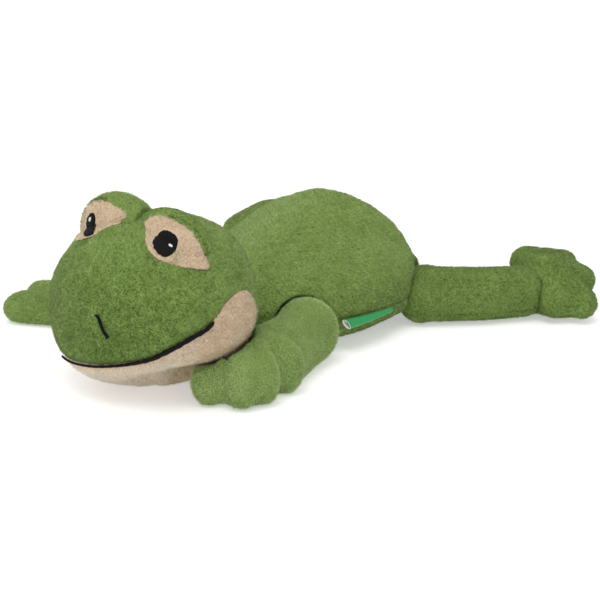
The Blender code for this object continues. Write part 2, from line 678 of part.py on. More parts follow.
def hang(name, place, pieces, holder=None):
    """Parents pieces to an empty on their joint's axis, and leaves them where they are."""
    pivot = bpy.data.objects.new(name, None)
    bpy.context.scene.collection.objects.link(pivot)
    pivot.location = place
    rest = Matrix.Translation(place).inverted()
    if holder:
        pivot.parent = holder
        pivot.matrix_parent_inverse = Matrix.Translation(holder.location).inverted()
    for piece in pieces:
        piece.parent = pivot
        piece.matrix_parent_inverse = rest
    return pivot


def build():
    clear_scene()
    torso = make_torso()
    crown, jaw, head_filling, head_form = make_head()
    socket = ellipsoid("head_socket_cutter", head_centre(), head_radii(-NECK_CLEARANCE), detail=CUTTER_DETAIL + 1)
    neck = ellipsoid("neck_cutter", head_centre() + np.array([0.0, HEAD_HEIGHT / 2, 0.0]), (NECK_WIDTH / 2,) * 3)
    cut(crown, neck)
    head = [crown, jaw, head_filling, *make_face_stitches()]
    cutters = {
        "floor": slab_below("floor_cutter", 0.0),
        "lining": slab_below("lining_cutter", PLUSH),
        "core": slab_below("core_cutter", PLUSH + FILLING_GAP),
        "cheek": ellipsoid("cheek_cutter", head_centre(), head_radii(-CHEEK_CLEARANCE), detail=CUTTER_DETAIL + 1),
    }
    for piece in torso:
        cut(piece, socket)
    cut(torso[1], cutters["floor"])
    cut(jaw, cutters["floor"])
    for side, hand, arm_length, arm_turn, leg_turn in (
        (1, "left", ARM_LENGTH_LEFT, ARM_TURN_LEFT, LEG_TURN_LEFT),
        (-1, "right", ARM_LENGTH_RIGHT, ARM_TURN_RIGHT, LEG_TURN_RIGHT),
    ):
        head += make_eye(side, hand, head_form)
        shoulder_place = Vector((side * SHOULDER_OUT, SHOULDER_Y, SHOULDER_BALL - FLAT_DEPTH))
        hip_place = Vector((side * HIP_OUT, HIP_Y, HIP_BALL - FLAT_DEPTH))
        ankle_place = Vector((*limb_place(side, hip_place.xy, leg_turn, 0.0, LEG_LENGTH), ANKLE_BALL - FLAT_DEPTH))
        arm = make_arm(side, hand, arm_length, arm_turn, cutters)
        leg = make_leg(side, hand, leg_turn, cutters)
        foot = make_foot(side, hand, ankle_place, leg_turn, cutters)
        hang("shoulder_pivot_" + hand, shoulder_place, arm)
        hip_pivot = hang("hip_pivot_" + hand, hip_place, leg)
        hang("ankle_pivot_" + hand, ankle_place, foot, hip_pivot)
        shoulder = ellipsoid("shoulder_cutter_" + hand, shoulder_place, (SHOULDER_BALL + JOINT_CLEARANCE,) * 3)
        hip = ellipsoid("hip_cutter_" + hand, hip_place, (HIP_BALL + JOINT_CLEARANCE,) * 3)
        for piece in torso:
            cut(piece, shoulder)
            cut(piece, hip)
    hang("neck_pivot", Vector(head_centre()), head)
    make_label()


build()
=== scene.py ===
"""The looks of a plush frog lying on its belly: short pile plush over stuffed forms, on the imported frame.

The frog faces -Y, its left side is at +X, and it lies on the floor at z = 0. Lengths are in metres.
"""

import math

import bmesh
import bpy
import numpy as np
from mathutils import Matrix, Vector


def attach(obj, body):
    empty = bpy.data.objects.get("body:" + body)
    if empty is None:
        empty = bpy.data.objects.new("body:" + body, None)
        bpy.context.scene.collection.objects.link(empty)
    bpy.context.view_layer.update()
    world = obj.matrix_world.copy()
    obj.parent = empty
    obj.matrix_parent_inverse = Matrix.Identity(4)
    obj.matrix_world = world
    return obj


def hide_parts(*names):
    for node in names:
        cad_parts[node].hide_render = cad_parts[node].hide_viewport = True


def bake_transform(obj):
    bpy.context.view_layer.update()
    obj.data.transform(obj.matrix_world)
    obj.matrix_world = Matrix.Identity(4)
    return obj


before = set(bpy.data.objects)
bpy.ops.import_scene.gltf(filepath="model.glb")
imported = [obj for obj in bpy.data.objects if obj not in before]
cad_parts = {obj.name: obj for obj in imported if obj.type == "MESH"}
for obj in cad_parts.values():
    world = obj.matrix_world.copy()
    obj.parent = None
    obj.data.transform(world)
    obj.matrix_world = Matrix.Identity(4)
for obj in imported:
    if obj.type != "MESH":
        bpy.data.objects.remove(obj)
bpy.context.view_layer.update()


# Studio: a pale floor, soft light and a camera in front of the frog, to its left and a little above.
# The floor shows white to the camera, and keeps the shadow under the frog.
CAMERA_PLACE = Vector((0.5459, -0.7311, 0.3166))
CAMERA_AZIMUTH = math.radians(36)
CAMERA_ELEVATION = math.radians(18)
LENS_MM = 81.0
SENSOR_MM = 36.0
FLOOR_REACH = 8.0
FLOOR_GREY = 0.8
FLOOR_LIFT = 0.42
FLOOR_BOUNCE = 0.38
WORLD_STRENGTH = 0.67
LIGHTS = (("key_light", (0.45, -0.85, 2.1), 1.3, 21.0), ("side_light", (-1.3, -0.9, 1.5), 1.2, 4.0))


class Socket:
    """A shader socket. Used in an expression, it adds the Math nodes of that expression."""

    def __init__(self, tree, output):
        self.tree, self.output = tree, output

    def math(self, operation, *values):
        return node(self.tree, "ShaderNodeMath", {"operation": operation}, dict(enumerate(values)))

    def __add__(self, other):
        return self.math("ADD", self, other)

    def __mul__(self, other):
        return self.math("MULTIPLY", self, other)

    __radd__ = __add__
    __rmul__ = __mul__


def node(tree, kind, settings=None, inputs=None, output=0):
    """A node with its settings, a ramp's stops among them, and its sockets' values or links."""
    made = tree.nodes.new(kind)
    for name, value in (settings or {}).items():
        if name == "stops":
            while len(made.color_ramp.elements) < len(value):
                made.color_ramp.elements.new(0.5)
            for element, (place, colour) in zip(made.color_ramp.elements, value):
                element.position = place
                element.color = (*colour, 1.0)
        else:
            setattr(made, name, value)
    for name, value in (inputs or {}).items():
        socket = made.inputs[name]
        if isinstance(value, Socket):
            tree.links.new(value.output, socket)
        elif socket.type == "RGBA" and len(value) == 3:
            socket.default_value = (*value, 1.0)
        else:
            socket.default_value = value
    return Socket(tree, made.outputs[output])


def principled(name, links=None, **values):
    """A material whose Principled shader has these values, and then the links that links(tree) gives."""
    material = bpy.data.materials.new(name)
    material.use_nodes = True
    tree = material.node_tree
    shader = tree.nodes["Principled BSDF"]
    for socket, value in values.items():
        value = (*value, 1.0) if isinstance(value, tuple) else value
        shader.inputs[socket.replace("_", " ")].default_value = value
    for socket, link in (links(tree) if links else {}).items():
        tree.links.new(link.output, shader.inputs[socket])
    return material


def mesh_piece(name, points, faces, materials):
    """A mesh object at the origin from arrays of points and of faces with equal corner counts."""
    mesh = bpy.data.meshes.new(name)
    points, faces = np.asarray(points, np.float32), np.asarray(faces, np.int32)
    mesh.vertices.add(len(points))
    mesh.vertices.foreach_set("co", points.ravel())
    mesh.loops.add(faces.size)
    mesh.loops.foreach_set("vertex_index", faces.ravel())
    mesh.polygons.add(len(faces))
    mesh.polygons.foreach_set("loop_start", np.arange(0, faces.size, faces.shape[1], dtype=np.int32))
    mesh.update(calc_edges=True)
    mesh.polygons.foreach_set("use_smooth", np.ones(len(faces), bool))
    for material in materials:
        mesh.materials.append(material)
    piece = bpy.data.objects.new(name, mesh)
    bpy.context.scene.collection.objects.link(piece)
    return piece


def floor_glow(tree):
    """The floor's own light: it lifts the floor to white where it is seen, and lights the frog a little."""
    camera_ray, glossy_ray, through_ray, diffuse_ray = (
        node(tree, "ShaderNodeLightPath", output=f"Is {kind} Ray")
        for kind in ("Camera", "Glossy", "Transmission", "Diffuse"))
    return {"Emission Strength": (camera_ray + glossy_ray + through_ray) * FLOOR_LIFT
            + diffuse_ray * FLOOR_BOUNCE}


half = FLOOR_REACH / 2
floor = mesh_piece(
    "studio_floor", [[-half, -half, 0], [half, -half, 0], [half, half, 0], [-half, half, 0]], [[0, 1, 2, 3]],
    [principled("studio_white", floor_glow, Base_Color=(FLOOR_GREY,) * 3, Roughness=1.0,
                Specular_IOR_Level=0.0, Emission_Color=(1.0, 1.0, 1.0))])
world = bpy.data.worlds.new("studio_world")
world.use_nodes = True
sky = world.node_tree.nodes["Background"].inputs
sky["Color"].default_value = (1.0, 1.0, 1.0, 1.0)
sky["Strength"].default_value = WORLD_STRENGTH
bpy.context.scene.world = world
for light_name, light_place, light_size, light_power in LIGHTS:
    lamp = bpy.data.lights.new(light_name, "AREA")
    lamp.size = light_size
    lamp.energy = light_power
    light = bpy.data.objects.new(light_name, lamp)
    light.location = light_place
    light.rotation_euler = (-Vector(light_place)).to_track_quat("-Z", "Y").to_euler()
    bpy.context.scene.collection.objects.link(light)
lens = bpy.data.cameras.new("camera")
lens.lens = LENS_MM
lens.sensor_width = SENSOR_MM
camera = bpy.data.objects.new("camera", lens)
camera.location = CAMERA_PLACE
camera.rotation_euler = (math.pi / 2 - CAMERA_ELEVATION, 0.0, CAMERA_AZIMUTH)
bpy.context.scene.collection.objects.link(camera)
bpy.context.scene.camera = camera
bpy.context.scene.view_settings.view_transform = "Standard"


# Torso: a back panel and a belly panel of short pile plush, sewn together along a side seam low on the
# flank and stuffed. It swells to a hump towards the rear, and has hollows where the limbs are sewn in.
HANDS = {1: "left", -1: "right"}
TORSO_LENGTH = 0.228
TORSO_WIDTH = 0.158
TORSO_HEIGHT = 0.084
TORSO_FRONT = -0.096
SEAM_HEIGHT = 0.024
FLAT_DEPTH = 0.0005
FLOOR_GAP = 0.0002
TORSO_STATIONS = (0.0, 0.1, 0.2, 0.3, 0.4, 0.5, 0.6, 0.7, 0.8, 0.9, 1.0)
TORSO_WIDTHS = (0.8, 0.78, 0.8, 0.85, 0.91, 0.962, 0.99, 1.015, 0.965, 0.84, 0.75)
TORSO_TOPS = (0.88, 0.862, 0.838, 0.815, 0.87, 0.955, 1.06, 1.135, 0.8, 0.6, 0.42)
TORSO_END_POWER = 0.75
BELLY_END_POWER = 0.5
BELLY_RING_POWER = 0.85
TORSO_MIDDLE_Y = 0.02
TORSO_ROWS = 150
PANEL_COLUMNS = 90
TORSO_LUMPS = ((0.0007, 0.035, 3), (0.0003, 0.012, 4))
LUMP_FADE = 0.01
SEAM_HALF_GAP = 0.0003
BACK_SEAM_ANGLE = 0.0014
BELLY_SEAM_ANGLE = 0.004
SEAM_DIP = 0.0011
SEAM_REACH = 0.0022
CLOTH_THICKNESS = 0.0022
TORSO_WADDING_ROOM = 0.0016
PILE_INSET = 0.0011
HEAD_CENTRE = np.array([0.0, -0.135, 0.056])
HEAD_RADII = np.array([0.0715, 0.0565, 0.0565])
NECK_ROOM = 0.0016
ARM_ROOTS = {1: (0.068, -0.057, 0.0), -1: (-0.068, -0.057, math.radians(65.5))}
ARM_SHIFTS = {1: 0.0, -1: 0.0125}
ELBOW = (-0.0120, 0.0068, 0.0232)
ELBOW_RIM_DIP = 0.0008
LEG_ROOTS = {1: (0.070, 0.078, math.radians(-47)), -1: (-0.070, 0.078, math.radians(-40))}
HIP_HEIGHT = 0.022
HIP_BALL = 0.0225
HIP_RIM_DIP = 0.0025
HIP_SIDE = (0.0120, -0.0055, 0.0176)
SOCKET_ROOM = 0.0007
WAVE_COUNT = 14
GREEN_TONES = ((0.105, 0.168, 0.034), (0.168, 0.255, 0.058), (0.245, 0.358, 0.096), (0.330, 0.458, 0.145),
               (0.415, 0.545, 0.205), (0.510, 0.640, 0.285))
PLUSH_FINISH = {"Specular_IOR_Level": 0.1, "Sheen_Weight": 0.25, "Sheen_Tint": (0.62, 0.75, 0.40)}
WADDING_STOPS = ((0.3, (0.7, 0.69, 0.65)), (0.7, (0.86, 0.85, 0.82)))
PILE_LENGTH = 0.0018
PILE_WIDTH = 0.00038
PILE_PER_MM2 = 2.1
PILE_LEAN = math.radians(56)
PILE_LEAN_SPREAD = math.radians(9)
PILE_STRAY = 0.45
PILE_SWIRL = 0.35
SWIRL_SIZE = 0.008
PILE_LENGTHS = (0.75, 1.2)
PILE_WIDTHS = (0.7, 1.3)
CLUMP_RISE = 0.15
CLUMP_SIZE = 0.006
PILE_ROOT = 0.15
MIDDLE_TONE = 2
TONE_CLUMPS = ((1.0, 0.0022, 20), (0.35, 0.018, 21))
TONE_CHANCE = 0.6
TORSO_PILE = (1.4, PILE_LENGTH, 0.00046)
ELBOW_PILE_ROOM = 0.0014
HIP_PILE_ROOM = 0.0016
HEAD_PILE_ROOM = 0.0028


def eased(stations, values, share):
    """Cubic curves through the stations' values that share their slope at each station."""
    slot = np.clip(np.searchsorted(stations, share) - 1, 0, len(stations) - 2)
    slopes = np.gradient(values, stations)
    start, step = np.take(stations, slot), np.diff(stations)[slot]
    u = (share - start) / step
    return ((2 * u**3 - 3 * u**2 + 1) * np.take(values, slot) + (u**3 - 2 * u**2 + u) * step * slopes[slot]
            + (-2 * u**3 + 3 * u**2) * np.take(values, slot + 1) + (u**3 - u**2) * step * slopes[slot + 1])


def signed_power(value, power):
    """The value's size to a power, with its sign kept."""
    return np.sign(value) * np.abs(value) ** power


def torso_points(share, angle):
    """Rings along Y. With t the angle whose (1 - cos t) / 2 is the share, a ring's half width and its height
    above the seam are sin(t) to the end power times their stations, and its depth under the seam goes with
    sin(t) to the belly's end power. It is an ellipse above the seam and a squarer superellipse below."""
    t = np.arccos(1 - 2 * share)
    closing = np.sin(t) ** TORSO_END_POWER
    width = TORSO_WIDTH / 2 * closing * eased(TORSO_STATIONS, TORSO_WIDTHS, share)
    rise = (TORSO_HEIGHT - SEAM_HEIGHT) * closing * eased(TORSO_STATIONS, TORSO_TOPS, share)
    drop = (SEAM_HEIGHT + FLAT_DEPTH) * np.sin(t) ** BELLY_END_POWER
    power = np.where(np.sin(angle) > 0, 1.0, BELLY_RING_POWER)
    lift = signed_power(np.sin(angle), power)
    across = width * signed_power(np.cos(angle), power)
    along = TORSO_FRONT + TORSO_LENGTH * share + 0 * angle
    return np.stack([across, along, SEAM_HEIGHT + np.where(lift > 0, rise, drop) * lift], axis=-1)


def unit(vectors, least=1e-9):
    """Vectors divided by their lengths."""
    return vectors / np.maximum(np.linalg.norm(vectors, axis=-1, keepdims=True), least)


def grid_normals(grid):
    """Unit normals of a grid of points: the cross product of its two slopes."""
    return unit(np.cross(np.gradient(grid, axis=0), np.gradient(grid, axis=1)), 1e-12)


def grid_faces(rows, columns):
    """The quads between neighbouring rows and columns of a grid."""
    index = np.arange(rows * columns).reshape(rows, columns)
    return np.stack([index[:-1, :-1], index[:-1, 1:], index[1:, 1:], index[1:, :-1]], axis=-1).reshape(-1, 4)


def closed_mesh(piece):
    """Merges doubles, drops faces with no area and turns the rest outward."""
    shape = bmesh.new()
    shape.from_mesh(piece.data)
    bmesh.ops.remove_doubles(shape, verts=shape.verts, dist=2e-6)
    bmesh.ops.dissolve_degenerate(shape, edges=shape.edges, dist=1e-7)
    bmesh.ops.recalc_face_normals(shape, faces=shape.faces)
    shape.to_mesh(piece.data)
    shape.free()
    return piece


def grid_piece(name, grid, *materials):
    """A closed mesh object over a grid of points."""
    return closed_mesh(mesh_piece(name, grid.reshape(-1, 3), grid_faces(*grid.shape[:2]), materials))


def with_ends(grid):
    """The grid between two rows of points at the middles of its first and last row, which close it."""
    ends = [np.repeat(grid[row].mean(0)[None, None], grid.shape[1], axis=1) for row in (0, -1)]
    return np.concatenate([ends[0], grid, ends[1]])


def stand_for(piece, replaced, body=None):
    """Puts a piece in a CAD node's place: hides the node, and attaches the piece to the body it rides on, if
    one is given.
    """
    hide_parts(replaced)
    if body:
        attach(piece, body)
    return piece


def waves(points, size, seed):
    """A smooth random field of about -1 to 1: the sum of sine waves about that long, in seeded directions,
    over the root of their number."""
    random = np.random.default_rng(seed)
    directions = random.normal(size=(WAVE_COUNT, 3))
    lengths = np.linalg.norm(directions, axis=1, keepdims=True)
    directions *= (2 * math.pi / size) * random.uniform(0.7, 1.3, (WAVE_COUNT, 1)) / lengths
    phases = random.uniform(0, 2 * math.pi, WAVE_COUNT)
    return np.sin(points @ directions.T + phases).sum(-1) / math.sqrt(WAVE_COUNT)


def stuffing_lumps(points, lumps, away):
    """Sums of waves, each a height, a length and a seed, that fade to nothing at the seam."""
    total = sum(height * waves(points, size, seed) for height, size, seed in lumps)
    return total * (1 - np.exp(-away / LUMP_FADE))


def pocket(points, centre, radius, into, dip=0.0):
    """Points in front of a ball move along a direction onto its far side, and its rim sinks by the dip."""
    away = points - centre
    along = away @ into
    aside = np.sqrt(np.maximum((away**2).sum(-1) - along**2, 0.0))
    far = np.sqrt(np.maximum(radius**2 - aside**2, 0.0))
    rim = dip * np.exp(-(((aside - radius) / (0.3 * radius)) ** 2)) * (np.abs(along) < 2 * radius)
    return points + (np.where(aside < radius, np.maximum(along, far), along + rim) - along)[..., None] * into


def clear_of_head(points, room):
    """Points inside the head's ellipsoid, grown by the room, move straight back onto it."""
    away = (points - HEAD_CENTRE) / (HEAD_RADII + room)
    back = np.sqrt(np.maximum(1 - away[..., 0] ** 2 - away[..., 2] ** 2, 0.0))
    hit = (away[..., 0] ** 2 + away[..., 2] ** 2 < 1) & (away[..., 1] < back)
    moved = points.copy()
    moved[..., 1] = np.where(hit, HEAD_CENTRE[1] + back * (HEAD_RADII[1] + room), points[..., 1])
    return moved


def limb_place(side, root, x, y):
    """A floor place at outward and backward distances from a limb's root, which is its x, y and turn."""
    turn = root[2]
    return (root[0] + side * (x * math.cos(turn) - y * math.sin(turn)),
            root[1] + x * math.sin(turn) + y * math.cos(turn))


ELBOW_PLACES = {side: np.array([*limb_place(side, ARM_ROOTS[side], ELBOW[0] + ARM_SHIFTS[side], ELBOW[1]),
                                ELBOW[2] - FLAT_DEPTH]) for side in HANDS}
HIP_PLACES = {side: np.array([*LEG_ROOTS[side][:2], HIP_HEIGHT]) for side in HANDS}


def bump(tree, height, strength, distance):
    """The normal of a surface that a pattern raises."""
    return node(tree, "ShaderNodeBump", {}, {"Height": height, "Strength": strength, "Distance": distance})


def plush_skin(name, dark, light, streak=(1.0, 1.0, 1.0)):
    """Mottled cloth: two sizes of noise on Object coordinates, the fine one drawn out along one direction."""
    def links(tree):
        place = node(tree, "ShaderNodeTexCoord", output="Object")
        drawn = node(tree, "ShaderNodeMapping", {}, {"Vector": place, "Scale": streak})
        fine = node(tree, "ShaderNodeTexNoise", {}, {"Vector": drawn, "Scale": 1300.0, "Detail": 3.0})
        broad = node(tree, "ShaderNodeTexNoise", {}, {"Vector": place, "Scale": 55.0, "Detail": 2.0})
        tone = node(tree, "ShaderNodeValToRGB", {"stops": ((0.36, dark), (0.72, light))},
                    {"Fac": fine * 0.75 + broad * 0.35})
        return {"Base Color": tone, "Normal": bump(tree, fine, 0.6, 0.0006)}
    return principled(name, links, Roughness=0.95, Sheen_Roughness=0.5, **PLUSH_FINISH)


def tones(name, colours):
    """One plain material for each tone of the fibres, from dark to light."""
    return [principled(f"{name}_{number}", Base_Color=colour, Roughness=0.9, Sheen_Roughness=0.45,
                       **PLUSH_FINISH) for number, colour in enumerate(colours)]


def wadding_links(tree):
    """Cloudy white fibre."""
    place = node(tree, "ShaderNodeTexCoord", output="Object")
    cloud = node(tree, "ShaderNodeTexNoise", {}, {"Vector": place, "Scale": 180.0, "Detail": 5.0})
    colour = node(tree, "ShaderNodeValToRGB", {"stops": WADDING_STOPS}, {"Fac": cloud})
    return {"Base Color": colour, "Normal": bump(tree, cloud, 0.7, 0.001)}


green_plush = plush_skin("green_plush_skin", GREEN_TONES[0], GREEN_TONES[2], (0.35, 1.0, 1.0))
green_pile = tones("green_pile", GREEN_TONES)
wadding = principled("wadding_fibre", wadding_links, Roughness=1.0)


def evaluated_mesh(piece):
    """A new mesh of the piece as its modifiers leave it."""
    return bpy.data.meshes.new_from_object(piece.evaluated_get(bpy.context.evaluated_depsgraph_get()))


def read_rows(rows, name, kind=np.float32):
    """An attribute of a mesh's points or triangles, three numbers a row."""
    values = np.empty(3 * len(rows), kind)
    rows.foreach_get(name, values)
    return values.reshape(-1, 3)


def pile(piece, body, comb, materials, seed, keep, density=PILE_PER_MM2, length=PILE_LENGTH,
         width=PILE_WIDTH, shift=0.0, slot="green_plush", name="pile"):
    """Short fibres over a piece's outer faces. Each is a three sided spike from a point chosen by area to
    point + length (normal cos lean + comb sin lean); its tone follows the shift, which paints light and shade
    on some pieces, and clumps of waves and chance."""
    random = np.random.default_rng(seed)
    mesh = evaluated_mesh(piece)
    mesh.calc_loop_triangles()
    corners = read_rows(mesh.loop_triangles, "vertices", np.int32)
    triangles = read_rows(mesh.vertices, "co")[corners]
    normals = read_rows(mesh.vertex_normals, "vector")
    bpy.data.meshes.remove(mesh)
    edges = triangles[:, 1:] - triangles[:, :1]
    area = np.linalg.norm(np.cross(edges[:, 0], edges[:, 1]), axis=1) / 2
    count = int(area.sum() * 1e6 * density)
    spots = np.sort(random.uniform(0, area.sum(), count))
    chosen = np.searchsorted(np.cumsum(area), spots).clip(0, len(area) - 1)
    share = random.uniform(size=(count, 2))
    share = np.where(share.sum(1, keepdims=True) > 1, 1 - share, share)
    weights = np.concatenate([1 - share.sum(1, keepdims=True), share], axis=1)[..., None]
    root = (triangles[chosen] * weights).sum(1).astype(float)
    normal = unit((normals[corners[chosen]] * weights).sum(1).astype(float))
    wanted = keep(root, normal)
    root, normal = root[wanted], normal[wanted]
    count = len(root)
    stray = random.normal(size=(count, 3))
    swirl = np.stack([waves(root, SWIRL_SIZE, seed + step) for step in range(3)], axis=-1)
    way = comb(root) + PILE_STRAY * stray + PILE_SWIRL * swirl
    way = unit(way - normal * (way * normal).sum(1, keepdims=True))
    lean = PILE_LEAN + random.normal(0, PILE_LEAN_SPREAD, (count, 1))
    along = normal * np.cos(lean) + way * np.sin(lean)
    across = np.cross(normal, way)
    turn = np.cross(along, across)
    clumps = 1 + CLUMP_RISE * waves(root, CLUMP_SIZE, seed + 9)
    reach = length * random.uniform(*PILE_LENGTHS, (count, 1)) * clumps[:, None]
    wide = width * random.uniform(*PILE_WIDTHS, (count, 1)) / 2
    base = root - PILE_ROOT * reach * normal
    corner_rows = [base + across * wide, base - across * wide, base + turn * wide * 0.9, root + along * reach]
    points = np.stack(corner_rows, axis=1).reshape(-1, 3)
    points[:, 2] = np.maximum(points[:, 2], FLOOR_GAP / 2)
    faces = (4 * np.arange(count)[:, None, None] + np.array([[0, 2, 3], [2, 1, 3], [1, 0, 3]])).reshape(-1, 3)
    tone = MIDDLE_TONE + (shift(root) if callable(shift) else shift)
    for height, size, step in TONE_CLUMPS:
        tone = tone + height * waves(root, size, seed + step)
    tone = np.clip(np.rint(tone + TONE_CHANCE * random.normal(size=count)), 0, len(materials) - 1)
    fibres = mesh_piece(f"{piece.name}_{name}", points, faces, materials)
    fibres.data.polygons.foreach_set("material_index", np.repeat(tone.astype(np.int32), 3))
    if body:
        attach(fibres, body)
    return fibres


def thicken(piece, thickness=CLOTH_THICKNESS):
    """Gives an open panel its cloth's thickness, inward."""
    wall = piece.modifiers.new("Cloth", "SOLIDIFY")
    wall.thickness = thickness
    wall.offset = -1.0
    wall.use_even_offset = False


def torso_surface(angle, inset, seam_dip):
    """Rings of the torso at these angles, sunk by the inset, with a dip along the first and the last angle,
    pockets for the limbs and the head, a slightly lumpy stuffing and a flat underside on the floor."""
    share = (1 - np.cos(np.linspace(0.03, math.pi - 0.03, TORSO_ROWS))) / 2
    outer = torso_points(share[:, None], angle[None, :])
    normal = grid_normals(outer)
    normal *= np.sign((normal * (outer - [0, TORSO_MIDDLE_Y, SEAM_HEIGHT])).sum(-1, keepdims=True).mean())
    steps = np.linalg.norm(np.diff(outer, axis=1), axis=-1)
    run = np.concatenate([np.zeros((TORSO_ROWS, 1)), np.cumsum(steps, axis=1)], axis=1)
    edge = np.minimum(run, run[:, -1:] - run)
    lumps = stuffing_lumps(outer, TORSO_LUMPS, edge)
    sink = seam_dip * np.exp(-edge / SEAM_REACH) + PILE_INSET + inset - lumps
    outer = outer - normal * sink[..., None]
    for side in HANDS:
        into = np.array([-side, 0.0, 0.0])
        room = SOCKET_ROOM + inset
        flank = np.array([*limb_place(side, LEG_ROOTS[side], *HIP_SIDE[:2]), HIP_SIDE[2]])
        outer = pocket(outer, ELBOW_PLACES[side], ELBOW[2] + room, into, ELBOW_RIM_DIP)
        outer = pocket(outer, HIP_PLACES[side], HIP_BALL + room, into, HIP_RIM_DIP)
        outer = pocket(outer, flank, HIP_SIDE[2] + room, into)
    outer = clear_of_head(outer, NECK_ROOM + inset)
    outer[..., 2] = np.maximum(outer[..., 2], FLOOR_GAP + inset)
    return with_ends(outer)


def torso_panel(name, first_angle, last_angle, replaced):
    """One torso panel between two angles round the ring."""
    outer = torso_surface(np.linspace(first_angle, last_angle, PANEL_COLUMNS), 0.0, SEAM_DIP)
    return stand_for(grid_piece(name, outer, green_plush), replaced)


def away_from_joins(points, normals):
    """False where a limb or the head covers the torso, and on its underside on the floor."""
    clear = np.ones(len(points), bool)
    for side in HANDS:
        clear &= np.linalg.norm(points - ELBOW_PLACES[side], axis=1) > ELBOW[2] + ELBOW_PILE_ROOM
        clear &= np.linalg.norm(points - HIP_PLACES[side], axis=1) > HIP_BALL + HIP_PILE_ROOM
    clear &= np.linalg.norm((points - HEAD_CENTRE) / (HEAD_RADII + HEAD_PILE_ROOM), axis=1) > 1
    return clear & ~((points[:, 2] < 0.0012) & (normals[:, 2] < -0.6))


def body_comb(points):
    """Outward from the spine, to the rear and a little down."""
    return np.stack([np.tanh(points[:, 0] / 0.02), 0.5 + 0 * points[:, 0], -0.3 + 0 * points[:, 0]], axis=-1)


def painted_body_light(points):
    """Painted light and shade: lighter on the back and darker low on the flanks."""
    return 0.7 - 3.0 * np.clip((0.052 - points[:, 2]) / 0.03, 0, 1)


back = torso_panel("torso_back", BACK_SEAM_ANGLE, math.pi - BACK_SEAM_ANGLE, "torso_back_panel")
belly = torso_panel("torso_belly", math.pi + BELLY_SEAM_ANGLE, 2 * math.pi - BELLY_SEAM_ANGLE,
                    "torso_belly_panel")
stuffing = torso_surface(np.linspace(0, 2 * math.pi, 121), CLOTH_THICKNESS + TORSO_WADDING_ROOM, 0.0)
stand_for(grid_piece("torso_wadding", stuffing, wadding), "torso_filling", "torso")
# The torso fibres' tone shift paints light on the back and shade low on the flanks.
for panel, seed in ((back, 11), (belly, 12)):
    pile(panel, "torso", body_comb, green_pile, seed, away_from_joins, *TORSO_PILE, painted_body_light)
    thicken(panel)
    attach(panel, "torso")


# Side label: a short loop of green satin ribbon, doubled and sewn into the left side seam, open at its
# front end so that the white back of the ribbon shows. It carries no text.
LABEL_LENGTH = 0.042
LABEL_WIDTH = 0.008
LABEL_WALL = 0.0007
LABEL_BULGE = 0.0045
LABEL_Y = -0.0215
LABEL_LEAN = math.radians(35)
LABEL_TAPER = 0.6
LABEL_ROWS = 40
LABEL_COLUMNS = 49
LABEL_GREEN = (0.010, 0.29, 0.075)
LABEL_WHITE = (0.75, 0.78, 0.72)


def label_links(tree):
    """Fine satin ribs along the ribbon."""
    place = node(tree, "ShaderNodeTexCoord", output="Object")
    ribs = node(tree, "ShaderNodeTexWave", {"bands_direction": "Y"},
                {"Vector": place, "Scale": 420.0, "Distortion": 1.0})
    return {"Normal": bump(tree, ribs, 0.25, 0.0002)}


def label_tube(share, angle, inset):
    """An ellipse carried along the seam that narrows to the rear, leaning out and down."""
    seam = torso_points(np.linspace(0.02, 0.98, 200)[:, None], np.zeros((1, 1)))[:, 0]
    y = LABEL_Y + LABEL_LENGTH * share
    edge = np.interp(y, seam[:, 1], seam[:, 0])
    width, bulge = LABEL_WIDTH * (1 - LABEL_TAPER * share), LABEL_BULGE * (1 - LABEL_TAPER * share)
    above = (bulge / 2 - inset) * np.sin(angle)
    out = width / 2 + (width / 2 - inset) * np.cos(angle)
    x = edge + SEAM_HALF_GAP + out * math.cos(LABEL_LEAN) + above * math.sin(LABEL_LEAN)
    z = SEAM_HEIGHT - out * math.sin(LABEL_LEAN) + above * math.cos(LABEL_LEAN)
    return np.stack([x, y + 0 * angle, z], axis=-1)


share, angle = np.linspace(0, 1, LABEL_ROWS)[:, None], np.linspace(0, 2 * math.pi, LABEL_COLUMNS)[None, :]
outside, inside = (label_tube(share, angle, inset) for inset in (0.0, LABEL_WALL))
tube = np.concatenate([outside[::-1], inside, outside[-1:]])
label = mesh_piece(
    "side_label_loop", tube.reshape(-1, 3), grid_faces(*tube.shape[:2]),
    [principled("green_satin", label_links, Base_Color=LABEL_GREEN, Roughness=0.38, Sheen_Weight=0.1),
     principled("ribbon_back", label_links, Base_Color=LABEL_WHITE, Roughness=0.6)])
row = np.arange(2 * LABEL_ROWS)
is_back = (row > LABEL_ROWS - 2) & (row < 2 * LABEL_ROWS - 1)
label.data.polygons.foreach_set("material_index", np.repeat(is_back, LABEL_COLUMNS - 1).astype(np.int32))
stand_for(closed_mesh(label), "side_label", body="torso")


